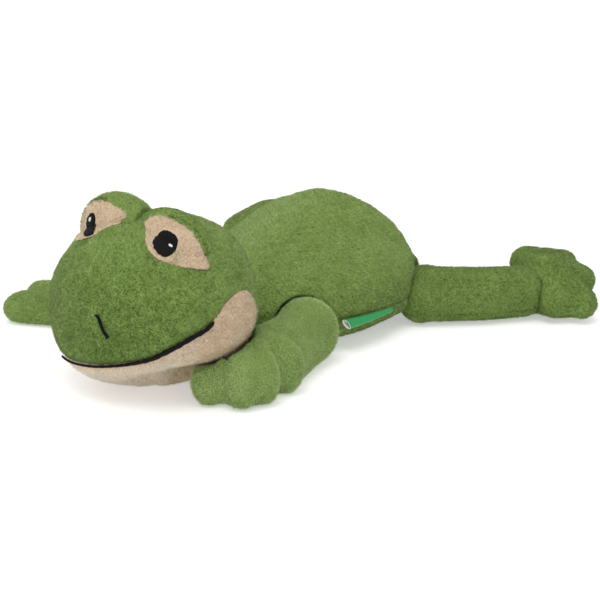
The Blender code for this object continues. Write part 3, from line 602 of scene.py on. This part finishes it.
# Head: a green crown panel and a beige jaw panel of the same plush, sewn together along the smile, round
# and well stuffed. The seam turns in, and a black line of satin stitch covers it at the front.
CHIN_TAPER = 0.12
MUZZLE = 0.006
MUZZLE_LATITUDE = math.radians(-38)
MUZZLE_SPREAD = math.radians(32)
SEAM_BEARINGS = np.radians((-180, -127, -119, -111, -104, -94, -82, -68, -52, -37, -22, -8, 3, 12, 20, 28,
                            37, 43, 50, 56, 64, 70, 78, 85, 94, 102, 109, 117, 127, 180))
SEAM_LATITUDES = np.radians((-62, -62, -40, -10, 4, 2, -8, -21, -28, -31, -31.5, -30.5, -29, -27, -25, -22.5,
                             -18.5, -14, -8.5, -4, 1, 6.5, 13.5, 17, 18, 16, 6, -28, -62, -62))
MOUTH_BEARINGS = (math.radians(-36.5), math.radians(68))
HEAD_SWELLS = ((-46, -36, 32, 24, 0.0047), (50, -46, 32, 24, -0.0060), (28, -60, 26, 18, -0.0064),
               (74, -52, 24, 18, -0.0090), (52, 12, 24, 18, 0.0008), (126, 50, 40, 24, 0.0044),
               (-56, 30, 26, 22, -0.0014))
HEAD_LUMPS = ((0.0004, 0.03, 5), (0.0002, 0.011, 6))
HEAD_COLUMNS = 200
CROWN_ROWS = 90
JAW_ROWS = 56
WADDING_ROOM = 0.0003
CROWN_DENSITY = 1.95
MOUTH_PILE_ROOM = 0.0011
BEIGE_TONES = ((0.48, 0.33, 0.21), (0.60, 0.44, 0.30), (0.70, 0.54, 0.38), (0.80, 0.64, 0.48),
               (0.88, 0.74, 0.59), (0.96, 0.87, 0.76))
beige_plush = plush_skin("beige_plush_skin", BEIGE_TONES[0], BEIGE_TONES[2])
beige_pile = tones("beige_pile", BEIGE_TONES)


def head_point(bearing, latitude, depth=0.0):
    """A point at a depth under the head's ellipsoid, by its bearing from the nose and its latitude. The
    chin narrows with the sine of the latitude, and the muzzle swells forward as a soft bell curve."""
    taper = 1 - CHIN_TAPER * np.maximum(-np.sin(latitude), 0.0)
    way = np.stack([np.cos(latitude) * np.sin(bearing) * taper, -np.cos(latitude) * np.cos(bearing),
                    np.sin(latitude) + 0 * bearing], axis=-1)
    bell = np.exp(-(((latitude - MUZZLE_LATITUDE) / MUZZLE_SPREAD) ** 2))
    swell = (MUZZLE * np.maximum(np.cos(bearing), 0.0) * bell)[..., None] * np.array([0, 1, 0])
    return HEAD_CENTRE + way * (HEAD_RADII - np.asarray(depth)[..., None]) - swell


def jaw_edge(bearing):
    """Latitude of the seam: a smooth curve through its stations, lower on the frog's right as sewn."""
    return eased(SEAM_BEARINGS, SEAM_LATITUDES, (bearing + math.pi) % (2 * math.pi) - math.pi)


def head_swell(bearing, latitude):
    """Soft swellings and hollows of the stuffing: bell curves about places on the head."""
    total = 0.0
    for place, height, wide, tall, rise in HEAD_SWELLS:
        aside, above = (np.degrees(bearing) - place) / wide, (np.degrees(latitude) - height) / tall
        total = total + rise * np.exp(-(aside**2) - above**2)
    return total


def head_panel(name, way, rows, replaced, material):
    """One head panel: rows run from the seam up or down to the pole, and those near the seam dip inward."""
    bearing = np.linspace(-math.pi, math.pi, HEAD_COLUMNS + 1)[None, :]
    share = np.linspace(0, 1, rows)[:, None] ** 1.25
    gap = way * SEAM_HALF_GAP / 2 / HEAD_RADII[1]
    latitude = (jaw_edge(bearing) + gap) * (1 - share) + way * math.pi / 2 * share
    away = np.abs(latitude - jaw_edge(bearing)) * HEAD_RADII[1]
    lumps = stuffing_lumps(head_point(bearing, latitude), HEAD_LUMPS, away)
    depth = PILE_INSET + SEAM_DIP * np.exp(-away / SEAM_REACH) - lumps
    outer = head_point(bearing, latitude, depth - head_swell(bearing, latitude))
    outer[:, -1] = outer[:, 0]
    outer[..., 2] = np.maximum(outer[..., 2], FLOOR_GAP)
    return stand_for(grid_piece(name, outer, material), replaced)


def head_comb(points):
    """Outward and back from the bridge of the nose."""
    return unit(points - (HEAD_CENTRE + [0.0, -0.06, 0.01]))


def head_angles(points):
    """Bearing and latitude of points on the head."""
    x, y, z = np.moveaxis((points - HEAD_CENTRE) / HEAD_RADII, -1, 0)
    return np.arctan2(x, -y), np.arctan2(z, np.hypot(x, y))


def painted_crown_light(points):
    """Painted light and shade: darker on the front of the snout, lighter towards the top and the back of the
    head, as if lit from above.
    """
    bearing, latitude = head_angles(points)
    front = np.exp(-(bearing**2))
    return -0.3 - 2.0 * front + (0.5 + 1.8 * front) * np.clip((latitude - 0.15) / 0.75, 0, 1) ** 1.5


def painted_jaw_light(points):
    """Painted light: lightest at the front of the jaw, and painted shade, darker towards the frog's left
    side.
    """
    return 4.6 - 4.0 * np.clip((head_angles(points)[0] - 0.5) / 0.8, 0, 1)


def off_mouth(points, normals):
    """False within about a millimetre of the mouth's stitches, and on the floor."""
    bearing, latitude = head_angles(points)
    near = np.abs(latitude - jaw_edge(bearing)) * HEAD_RADII[1] < MOUTH_PILE_ROOM
    near &= (bearing > MOUTH_BEARINGS[0]) & (bearing < MOUTH_BEARINGS[1])
    return ~near & (points[:, 2] > 0.001)


bearing = np.linspace(-math.pi, math.pi, 97)[None, :]
latitude = np.linspace(-math.pi / 2, math.pi / 2, 61)[:, None]
stuffing = head_point(bearing, latitude,
                      PILE_INSET + CLOTH_THICKNESS + WADDING_ROOM - head_swell(bearing, latitude))
stuffing[..., 2] = np.maximum(stuffing[..., 2], FLOOR_GAP + CLOTH_THICKNESS + WADDING_ROOM)
stand_for(grid_piece("head_wadding", stuffing, wadding), "head_filling", "head")
crown = head_panel("head_crown", 1, CROWN_ROWS, "head_crown_panel", green_plush)
jaw = head_panel("head_jaw", -1, JAW_ROWS, "head_jaw_panel", beige_plush)
# The crown's and the jaw's fibres get tone shifts that paint light and shade on them.
pile(crown, "head", head_comb, green_pile, 21, off_mouth, CROWN_DENSITY, shift=painted_crown_light)
pile(jaw, "head", head_comb, beige_pile, 22, off_mouth, shift=painted_jaw_light, slot="beige_plush")
# The crown before it gets its wall, kept out of the scene: the eyes' brows take their roots from it.
crown_form = crown.copy()
crown_form.data = crown.data.copy()
crown_form.name = "crown_form"
for panel in (crown, jaw):
    thicken(panel)
    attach(panel, "head")


# Eyes: two stuffed domes of green plush on top of the head, each with a sewn patch of beige plush, and on
# it an oval pupil in black satin stitch with a small white stitched glint.
EYE_SPACING = 0.0402
EYE_UNEVEN = 0.0019
EYE_MIDDLE_GAP = 0.0004
DOME_RADII = np.array([0.0315, 0.0165, 0.0263])
DOME_Y = -0.1406
DOME_Z = 0.0954
DOME_ROOT = -0.0030
DOME_ROWS = 70
DOME_COLUMNS = 121
PATCH_OUTLINES = {
    1: ((-30, 48), (-13, 61), (16, 62), (47, 51), (63, 39), (70, 25), (78, 7), (75, -21), (62, -26),
        (43, -27), (17, -33), (1, -36), (-6, -28), (-9, -11), (-12, 7), (-20, 32)),
    -1: ((-38, 40), (-27, 47), (-9, 54), (14, 58), (43, 53), (60, 41), (72, 24), (77, 4), (70, -20),
         (50, -30), (22, -38), (0, -43), (-14, -42), (-14, -28), (-12, -13), (-15, 0), (-18, 14),
         (-28, 28))}
RAGGED_EDGE = 0.8
PATCH_BASE = -0.0018
PATCH_THICKNESS = 0.0016
PUPIL_OUTLINES = {
    1: ((35, 21), (34, 29), (27.5, 35), (17.5, 37), (8, 32), (2.5, 20), (1, 4), (2.5, -9), (6.5, -16),
        (13, -16), (21, -7), (29, 6)),
    -1: ((13, 16), (16, 25), (22, 31), (28, 31), (32.5, 25), (33.5, 16), (29, 4), (18, -9), (4, -21),
         (-6, -24), (-6, -14), (3, 2))}
PUPIL_MIDDLES = {1: (17.0, 10.0), -1: (19.5, 8.0)}
GLINTS = {1: ((25.0, 14.0), (2.9, 3.4)), -1: ((23.0, 21.0), (2.0, 3.4))}
PUPIL_BASE = PATCH_BASE + PATCH_THICKNESS
THREAD_THICKNESS = 0.0011
GLINT_BASE = PUPIL_BASE + THREAD_THICKNESS
GLINT_THICKNESS = 0.0006
THREAD_SPACING = 0.0005
THREAD_BLACK = (0.004, 0.004, 0.0045)
THREAD_WHITE = (0.82, 0.83, 0.8)
PATCH_PILE_LENGTH = 0.0016
DOME_PILE_ROOM = 0.0019
PUPIL_PILE_ROOM = 0.0012
# The brows' fibres: density, length, width, and a darker tone shift that paints shade along the brow.
SHADED_BROW_PILE = (1.6, 0.0028, 0.0005, -0.6)
BROW_REACH = (0.0012, 0.0040)
BROW_FROM = (0.024, -0.168, 0.094)


def dome_middle(side):
    """The middle of an eye dome: the left one sits a little lower."""
    return np.array([side * EYE_SPACING / 2, DOME_Y, DOME_Z - side * EYE_UNEVEN])


def dome_point(side, aside, above, height, root=None):
    """A point over an eye dome: its middle plus the facing direction times radii grown by the height, kept on
    its own side of the head's middle, and pushed out of the head to the same height, or to the root's."""
    facing = np.stack([side * np.sin(aside) * np.cos(above), -np.cos(aside) * np.cos(above),
                       np.sin(above) + 0 * aside], axis=-1)
    points = dome_middle(side) + facing * (DOME_RADII + np.asarray(height)[..., None])
    points[..., 0] = side * np.maximum(side * points[..., 0], EYE_MIDDLE_GAP / 2)
    bearing, latitude = head_angles(points)
    over = height if root is None else root
    skin = head_point(bearing, latitude, -head_swell(bearing, latitude) - over)
    inside = np.linalg.norm(points - HEAD_CENTRE, axis=-1) < np.linalg.norm(skin - HEAD_CENTRE, axis=-1)
    return np.where(inside[..., None], skin, points)


def closed_curve(corners, count):
    """A smooth closed curve through the corners. Between b and c, with a before and d after them, it is
    half (2b + (c-a)u + (2a-5b+4c-d)u2 + (3b-3c+d-a)u3), and its edge is slightly ragged."""
    corners = np.asarray(corners, float)
    place = np.linspace(0, len(corners), count) % len(corners)
    slot = place.astype(int) % len(corners)
    u = (place - slot)[:, None]
    a, b, c, d = (corners[(slot + step) % len(corners)] for step in (-1, 0, 1, 2))
    place = place[:, None]
    rough, fine = np.sin(place * 4.1) * np.sin(place * 2.3 + 1), np.sin(place * 8.7) * np.sin(place * 1.7)
    smooth = 2 * b + (c - a) * u + (2 * a - 5 * b + 4 * c - d) * u**2 + (3 * b - 3 * c + d - a) * u**3
    return RAGGED_EDGE * (rough + 0.6 * fine) + 0.5 * smooth


def dome_cap(name, side, outline, middle, base, thickness, power, rows, material):
    """A closed cap over the dome: rings shrink from the outline to the middle, at a height of base +
    thickness times the root of 1 - ring to the power, and its underside lies at the base."""
    ring = np.linspace(0, 1, rows)[:, None]
    aside = middle[0] + ring * (outline[0] - middle[0])[None, :]
    above = middle[1] + ring * (outline[1] - middle[1])[None, :]
    height = base + thickness * np.sqrt(np.maximum(1 - ring**power, 0))
    top = dome_point(side, aside, above, height + 0 * aside)
    under = dome_point(side, aside, above, base + 0 * aside)[::-1]
    return grid_piece(name, np.concatenate([top, under]), material)


def thread_links(tree):
    """Parallel threads of satin stitch: a fine wave that raises each thread."""
    place = node(tree, "ShaderNodeTexCoord", output="Object")
    rows = node(tree, "ShaderNodeTexWave", {"bands_direction": "Z"},
                {"Vector": place, "Scale": 1 / THREAD_SPACING / 20 * math.pi, "Distortion": 2.0,
                 "Detail Scale": 40.0})
    return {"Normal": bump(tree, rows, 0.5, 0.0003)}


def mesh_points(piece):
    """The mesh's points as an array."""
    return read_rows(piece.data.vertices, "co").astype(float)


def nearest(points, others):
    """Distance of each point from the nearest of the others."""
    squares = (points**2).sum(1)[:, None] + (others**2).sum(1)[None, :] - 2 * points @ others.T
    return np.sqrt(np.maximum(squares.min(1), 0.0))


black_thread = principled("black_thread", thread_links, Base_Color=THREAD_BLACK, Roughness=0.7,
                          Specular_IOR_Level=0.15)
white_thread = principled("white_thread", thread_links, Base_Color=THREAD_WHITE, Roughness=0.5)
around = np.linspace(0, 2 * math.pi, 97)
dome_above, dome_aside = np.meshgrid(np.linspace(-math.pi / 2, math.pi / 2, DOME_ROWS),
                                     np.linspace(-math.pi, math.pi, DOME_COLUMNS), indexing="ij")
for side, hand in HANDS.items():
    dome_grid = dome_point(side, dome_aside, dome_above, -PILE_INSET + 0 * dome_aside, DOME_ROOT)
    dome = stand_for(grid_piece("eye_dome_form_" + hand, dome_grid, green_plush), "eye_dome_" + hand)
    middle = np.radians(PUPIL_MIDDLES[side])
    patch = dome_cap("eye_patch_form_" + hand, side, np.radians(closed_curve(PATCH_OUTLINES[side], 161)).T,
                     middle, PATCH_BASE, PATCH_THICKNESS, 8, 30, beige_plush)
    stand_for(patch, "eye_patch_" + hand)
    pupil = dome_cap("pupil_stitch_" + hand, side, np.radians(closed_curve(PUPIL_OUTLINES[side], 97)).T,
                     middle, PUPIL_BASE, THREAD_THICKNESS, 4, 20, black_thread)
    stand_for(pupil, "pupil_" + hand)
    spot, half_size = np.radians(GLINTS[side])
    dot = (spot[0] + half_size[0] * np.cos(around), spot[1] + half_size[1] * np.sin(around))
    glint = dome_cap("eye_glint_stitch_" + hand, side, dot, spot, GLINT_BASE, GLINT_THICKNESS, 3, 8,
                     white_thread)
    stand_for(glint, "eye_glint_" + hand)
    patch_cover, pupil_cover = mesh_points(patch)[::5], mesh_points(pupil)[::3]

    def off_patch(points, normals):
        """False under the beige patch and inside the head."""
        outside_head = np.linalg.norm((points - HEAD_CENTRE) / HEAD_RADII, axis=1) > 0.995
        return (nearest(points, patch_cover) > DOME_PILE_ROOM) & outside_head

    def off_pupil(points, normals):
        """False under the pupil and on the patch's underside."""
        out = ((points - dome_middle(side)) * normals).sum(1) > 0
        return out & (nearest(points, pupil_cover) > PUPIL_PILE_ROOM)

    def brow(points, normals):
        """True just outside the patch's upper outer edge."""
        away = nearest(points, patch_cover)
        upper_outer = (points * [side, 1, 1] > BROW_FROM).all(1)
        return (away > BROW_REACH[0]) & (away < BROW_REACH[1]) & upper_outer

    def brow_comb(points):
        """Down and forward over the patch's edge."""
        return [-0.5 * side, -0.9, -0.7] + 0 * points

    # Brows: fibres combed down over the patch's upper outer edge, darker as painted shade.
    for piece, seed in ((dome, 71), (crown_form, 73)):
        pile(piece, "head", brow_comb, green_pile, seed + side, brow, *SHADED_BROW_PILE, name="brow_" + hand)
    pile(dome, "head", head_comb, green_pile, 31 + side, off_patch, shift=0.3)
    pile(patch, "head", head_comb, beige_pile, 35 + side, off_pupil, length=PATCH_PILE_LENGTH, shift=0.5,
         slot="beige_plush")
    for piece in (dome, patch, pupil, glint):
        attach(piece, "head")


# Face stitches: the smile is a line of black satin stitch over the seam, wider towards the frog's left,
# and the nose is a short slanted line of the same thread.
MOUTH_WIDTHS = (0.0013, 0.0016, 0.0020, 0.0029, 0.0026)
NOSE_BEARINGS = (4.2, 5.9, 7.5, 9.1, 10.8, 11.8, 10.9)
NOSE_LATITUDES = (6.6, 5.3, 1.9, -1.9, -4.4, -5.4, -6.6)
NOSE_WIDTH = 0.0016
NOSE_RISE = 0.0010


def stitched_line(name, bearing, latitude, width, rise, replaced):
    """A rounded cord of stitches: an ellipse of the given width carried over the head's surface."""
    path = head_point(bearing, latitude, -head_swell(bearing, latitude))
    normal = unit((path - HEAD_CENTRE) / HEAD_RADII**2)
    across = unit(np.cross(normal, np.gradient(path, axis=0)))
    turn = np.linspace(0, 2 * math.pi, 17)[None, :, None]
    half_width, height = (width / 2)[:, None, None], (rise + 0 * width)[:, None, None] * (0.2 + np.sin(turn))
    grid = path[:, None] + across[:, None] * half_width * np.cos(turn) + normal[:, None] * height
    stand_for(grid_piece(name, with_ends(grid), black_thread), replaced, body="head")


mouth_share = np.linspace(-1, 1, 400)
mouth_bearing = np.interp(mouth_share, (-1, 1), MOUTH_BEARINGS)
mouth_waver = 1 + 0.08 * np.sin(mouth_share * 61) + 0.06 * np.sin(mouth_share * 97 + 1)
mouth_width = (eased(np.linspace(-1, 1, 5), MOUTH_WIDTHS, mouth_share) * mouth_waver
               * np.sqrt(np.maximum(1 - mouth_share**60, 0.01)))
stitched_line("mouth_line", mouth_bearing, jaw_edge(mouth_bearing), mouth_width, 0.0005 + 0.18 * mouth_width,
              "mouth_stitch")
nose_run = np.linspace(0, 6, 90)
nose_bearing, nose_latitude = (np.radians(eased(np.arange(7.0), degrees, nose_run))
                               for degrees in (NOSE_BEARINGS, NOSE_LATITUDES))
stitched_line("nose_line", nose_bearing, nose_latitude,
              NOSE_WIDTH * np.sqrt(np.maximum(1 - ((nose_run - 3) / 3) ** 8, 0.04)), NOSE_RISE, "nose_stitch")


# Arms: soft stuffed tubes of the same plush that lie along the floor and end in three blunt fingers. Each
# is sewn into the torso at the shoulder. Their forms are inflated as cloth from slightly thin unions.
# Tone shifts of the arms' fibres: painted light, much lighter on the left arm, as if lit from above.
ARM_PAINTED_LIGHT = {1: 3.8, -1: 0.4}
ARM_STRETCHES = {1: 1.0, -1: 1.20}
ARM_LOBES = ((ELBOW, (-0.0135, 0.001, 0.0208)), ((-0.0135, 0.001, 0.0203), (-0.0170, -0.032, 0.0166)),
             ((-0.0100, -0.003, 0.0212), (0.0010, -0.031, 0.0168)),
             ((-0.0170, -0.030, 0.0166), (-0.0180, -0.056, 0.0152)),
             ((-0.0180, -0.056, 0.0148), (-0.0185, -0.0868, 0.0127)),
             ((-0.006, -0.056, 0.0152), (0.0016, -0.0792, 0.0144)),
             ((-0.002, -0.060, 0.0140), (0.0090, -0.0672, 0.0136)),
             ((-0.006, -0.046, 0.0150), (0.0096, -0.0430, 0.0144)))
HAND_RISES = {1: 1.26, -1: 0.90}
PALM = (-0.011, -0.053, 0.0250, 0.0250, 0.0192)
CHEEK_ROOM = 0.0020
CORE_CHEEK_ROOM = 0.0080
CORE_DEPTH = 0.0052
CORE_LOBES = ARM_LOBES[:2] + ARM_LOBES[5:]
ARM_BEND = (0.010, -0.035)
CHAIN_STEPS = 9
INFLATE_START = 0.0003
VOXEL = 0.0030
CLOTH = {"quality": 4, "mass": 0.15, "tension_stiffness": 8, "compression_stiffness": 8, "shear_stiffness": 4,
         "bending_stiffness": 0.4, "use_pressure": True, "uniform_pressure_force": 9.0}
CLOTH_FRAMES = 20
MOST_SWELL = 0.0028
LIMB_CLOTH = 0.0012


def ball_grid(centre, radii, turn, tilt):
    """An ellipsoid by latitude and bearing, tilted about its own Y and turned about Z."""
    latitude = np.linspace(-math.pi / 2, math.pi / 2, 17)[:, None]
    bearing = np.linspace(0, 2 * math.pi, 33)[None, :]
    x, y, z = (radii[0] * np.cos(latitude) * np.cos(bearing), radii[1] * np.cos(latitude) * np.sin(bearing),
               radii[2] * np.sin(latitude) + 0 * bearing)
    x, z = x * math.cos(tilt) + z * math.sin(tilt), z * math.cos(tilt) - x * math.sin(tilt)
    x, y = x * math.cos(turn) - y * math.sin(turn), x * math.sin(turn) + y * math.cos(turn)
    return np.stack([x, y, z], axis=-1) + centre


def chain(start, end):
    """Lumps (x, y, radius) evenly from start to end."""
    shares = np.linspace(0, 1, CHAIN_STEPS)
    return [tuple(a + (b - a) * share for a, b in zip(start, end)) for share in shares]


def off_head(points, room):
    """Points nearer than this to the head's surface move level away from its middle line in small steps."""
    moved = points.copy()
    for _ in range(60):
        bearing, latitude = head_angles(moved)
        surface = head_point(bearing, latitude, -head_swell(bearing, latitude) - room)
        inside = np.linalg.norm(moved - HEAD_CENTRE, axis=1) < np.linalg.norm(surface - HEAD_CENTRE, axis=1)
        moved[inside, :2] = HEAD_CENTRE[:2] + (moved[inside, :2] - HEAD_CENTRE[:2]) * 1.01
    return moved


def stuffed_form(name, side, root, lumps, thinner=INFLATE_START, head_room=None):
    """The union of lumps (x, y, height, radii, tilt), each thinner by that depth, remeshed and relaxed."""
    points, faces, first = [], [], 0
    for x, y, height, radii, tilt in lumps:
        centre = np.array([*limb_place(side, root, x, y), height])
        grid = ball_grid(centre, [radius - thinner for radius in radii], side * root[2], side * tilt)
        points.append(grid.reshape(-1, 3))
        faces.append(grid_faces(*grid.shape[:2]) + first)
        first += len(points[-1])
    points = np.concatenate(points)
    points = off_head(points, head_room) if head_room else points
    rough = closed_mesh(mesh_piece(name, points, np.concatenate(faces), [green_plush]))
    remesh = rough.modifiers.new("Union", "REMESH")
    remesh.mode = "VOXEL"
    remesh.voxel_size = VOXEL
    relax = rough.modifiers.new("Relax", "SMOOTH")
    relax.iterations = 3
    apply_modifiers(rough)
    return rough


def apply_modifiers(piece):
    """Makes the evaluated mesh the piece's own, and clears its modifiers."""
    bpy.context.view_layer.update()
    mesh = evaluated_mesh(piece)
    piece.modifiers.clear()
    piece.data = mesh
    mesh.polygons.foreach_set("use_smooth", np.ones(len(mesh.polygons), bool))


def set_points(piece, points):
    """Moves the mesh's points to these places."""
    piece.data.vertices.foreach_set("co", np.asarray(points, np.float32).ravel())
    piece.data.update()


def moved_out(piece, distance):
    """The mesh's points moved along their normals."""
    return mesh_points(piece) + distance * read_rows(piece.data.vertex_normals, "vector")


def inflate(pieces):
    """Swells the pieces together as cloth under pressure, and caps how far each point may move."""
    starts = [mesh_points(piece) for piece in pieces]
    for piece in pieces:
        cloth = piece.modifiers.new("Cloth", "CLOTH")
        for setting, value in CLOTH.items():
            setattr(cloth.settings, setting, value)
        cloth.settings.effector_weights.gravity = 0
        cloth.collision_settings.use_collision = False
        cloth.point_cache.frame_start = 1
        cloth.point_cache.frame_end = CLOTH_FRAMES
    for step in range(1, CLOTH_FRAMES + 1):
        bpy.context.scene.frame_set(step)
    for piece, start in zip(pieces, starts):
        apply_modifiers(piece)
        moved = mesh_points(piece) - start
        far = np.linalg.norm(moved, axis=1, keepdims=True)
        set_points(piece, start + moved * np.minimum(1, MOST_SWELL / np.maximum(far, 1e-9)))
    bpy.context.scene.frame_set(1)


def arm_lumps(lobes, side):
    """The lobes as chains of balls and the palm as a flat ball, longer along the arm by a share."""
    longer, aside, rise = ARM_STRETCHES[side], ARM_SHIFTS[side], HAND_RISES[side]
    x, y, *reach = PALM
    reach[2] *= rise / HAND_RISES[1]
    lumps = [(x + aside, y * longer, reach[2] - FLAT_DEPTH, reach, 0.0)]
    for start, end in lobes:
        for x, y, radius in chain(start, end):
            tall = radius * (1 + (rise - 1) * min(max((-y - 0.018) / 0.034, 0.0), 1.0))
            lumps.append((x + aside, y * longer, tall - FLAT_DEPTH, (radius, radius, tall), 0.0))
    return lumps


arms = {side: stuffed_form("arm_form_" + hand, side, ARM_ROOTS[side], arm_lumps(ARM_LOBES, side),
                           head_room=CHEEK_ROOM) for side, hand in HANDS.items()}
cores = {side: stuffed_form("arm_core_" + hand, side, ARM_ROOTS[side], arm_lumps(CORE_LOBES, side),
                            CORE_DEPTH, CORE_CHEEK_ROOM) for side, hand in HANDS.items()}


# Legs and feet: the legs are short thick tubes sewn in at the hips, and each foot is a wide stuffed pad
# with blunt toes, sewn on at the ankle and lying a little tilted, its inner side raised.
LEG_LENGTH = 0.080
LEG_THICKNESS = 0.038
THIGH = ((0.120, 0.10, 0.552), (0.135, 0.50, 0.535), (0.085, 0.88, 0.52))
HIP_LOBE = 0.0205
ANKLE_BALL = 0.0185
ANKLE_SLEEVE = 0.0200
ANKLE_SLEEVE_Y = 0.004
FOOT_LENGTH = 0.050
FOOT_WIDTH = 0.074
FOOT_THICKNESS = 0.036
FOOT_TILT = math.radians(14)
# The feet's fibres are shifted darker: painted shade.
FOOT_PAINTED_SHADE = -1.2
SOLE = (-0.02, 0.30, 0.40, 0.44, 0.48)
SOLE_HEIGHT = 0.002
FOOT_CORE = (-0.04, 0.28, 0.0170)
TOES = ((-0.43, 0.06, 0.0134), (-0.40, 0.38, 0.0128), (-0.38, 0.63, 0.0125), (-0.07, 0.80, 0.0122),
        (0.36, 0.60, 0.0124), (0.30, 0.20, 0.0138))


def ball(x, y, radius, lift=0.0):
    """A round lump that rests on the floor, or higher by the lift."""
    return x, y, radius - FLAT_DEPTH + lift, (radius,) * 3, 0.0


def leg_lumps():
    """Balls at the hip, along the thigh's knots and at the ankle."""
    lumps = [ball(0.0, 0.0, HIP_LOBE), ball(*HIP_SIDE)]
    knots = [(x * LEG_LENGTH, y * LEG_LENGTH, radius * LEG_THICKNESS) for x, y, radius in THIGH]
    for start, end in zip(knots[:-1], knots[1:]):
        lumps += [ball(*knot) for knot in chain(start, end)]
    return lumps + [ball(0.0, LEG_LENGTH, ANKLE_BALL)]


def foot_lumps():
    """A flat tilted sole, a sleeve at the ankle and chains of balls to the toes."""
    x, y, *radii = SOLE
    reach = (radii[0] * FOOT_WIDTH, radii[1] * FOOT_LENGTH, radii[2] * FOOT_THICKNESS)
    rise = math.hypot(reach[0] * math.sin(FOOT_TILT), reach[2] * math.cos(FOOT_TILT))
    lumps = [(x * FOOT_WIDTH, y * FOOT_LENGTH, rise - FLAT_DEPTH, reach, FOOT_TILT),
             ball(0.0, ANKLE_SLEEVE_Y, ANKLE_SLEEVE)]
    for toe in TOES:
        for x, y, radius in chain(FOOT_CORE, toe):
            lift = max((0.5 - x) * FOOT_WIDTH * math.sin(FOOT_TILT), 0.0)
            lumps.append(ball(x * FOOT_WIDTH, y * FOOT_LENGTH, radius, lift))
    return lumps


ankles = {side: (*limb_place(side, LEG_ROOTS[side], 0.0, LEG_LENGTH), LEG_ROOTS[side][2]) for side in HANDS}
legs = {side: stuffed_form("leg_form_" + hand, side, LEG_ROOTS[side], leg_lumps())
        for side, hand in HANDS.items()}
feet = {side: stuffed_form("foot_form_" + hand, side, ankles[side], foot_lumps())
        for side, hand in HANDS.items()}
inflate([*arms.values(), *legs.values(), *feet.values()])


def sink_points(piece, depth):
    """Moves the points in along their normals, and keeps them above the floor."""
    points = moved_out(piece, -depth)
    points[:, 2] = np.maximum(points[:, 2], FLOOR_GAP)
    set_points(piece, points)


def above_floor(points, normals):
    """False on the underside that lies on the floor."""
    return ~((points[:, 2] < 0.0015) & (normals[:, 2] < -0.5))


def painted_leg_shade(points):
    """Painted shade: a little darker all over, and darker still along the side seams, one centimetre above
    the floor.
    """
    return -0.9 - 3.0 * np.exp(-(((points[:, 2] - 0.0100) / 0.0010) ** 2))


def limb_finish(piece, part, hand, seed, way, shift, bend=None, core=None):
    """Flattens a limb on the floor, subdivides it once, gives it its pile, combed one way, and its cloth's
    wall, and fills it. It rides on its body, or, given a bend, has its place baked into its mesh and rides on
    no body."""
    points = mesh_points(piece)
    lift = np.maximum(points[:, 2] - FLOOR_GAP, 0)
    flattened = FLOOR_GAP + lift**2 / (SOLE_HEIGHT - FLOOR_GAP)
    points[:, 2] = np.where(points[:, 2] < SOLE_HEIGHT, flattened, points[:, 2])
    set_points(piece, points)
    rounder = piece.modifiers.new("Rounder", "SUBSURF")
    rounder.levels = rounder.render_levels = 1
    apply_modifiers(piece)
    sink_points(piece, PILE_INSET)
    if not core:
        core = piece.copy()
        core.data = piece.data.copy()
        bpy.context.scene.collection.objects.link(core)
        sink_points(core, LIMB_CLOTH + WADDING_ROOM)
    core.name = f"{part}_wadding_{hand}"
    core.data.materials.clear()
    core.data.materials.append(wadding)
    fibres = pile(piece, None, lambda points: way + 0 * points, green_pile, seed, above_floor, shift=shift)
    thicken(piece, LIMB_CLOTH)
    apply_modifiers(piece)
    stand_for(piece, f"{part}_skin_{hand}")
    stand_for(core, f"{part}_filling_{hand}")
    for each in (piece, core, fibres):
        if bend:
            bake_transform(each)
        else:
            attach(each, f"{part}_{hand}")


for side, hand in HANDS.items():
    turn = side * ARM_ROOTS[side][2]
    forward = np.array([math.sin(turn), -math.cos(turn), -0.15])
    set_points(arms[side], off_head(mesh_points(arms[side]), CHEEK_ROOM))
    bend = [(*limb_place(side, ARM_ROOTS[side], 0.0, y), ELBOW[2]) for y in ARM_BEND]
    limb_finish(arms[side], "arm", hand, 41 + side, forward, ARM_PAINTED_LIGHT[side], bend, cores[side])
    turn = side * LEG_ROOTS[side][2]
    outward = np.array([-math.sin(turn), math.cos(turn), 0.0])
    limb_finish(legs[side], "leg", hand, 51 + side, outward, painted_leg_shade)
    limb_finish(feet[side], "foot", hand, 61 + side, outward, FOOT_PAINTED_SHADE)
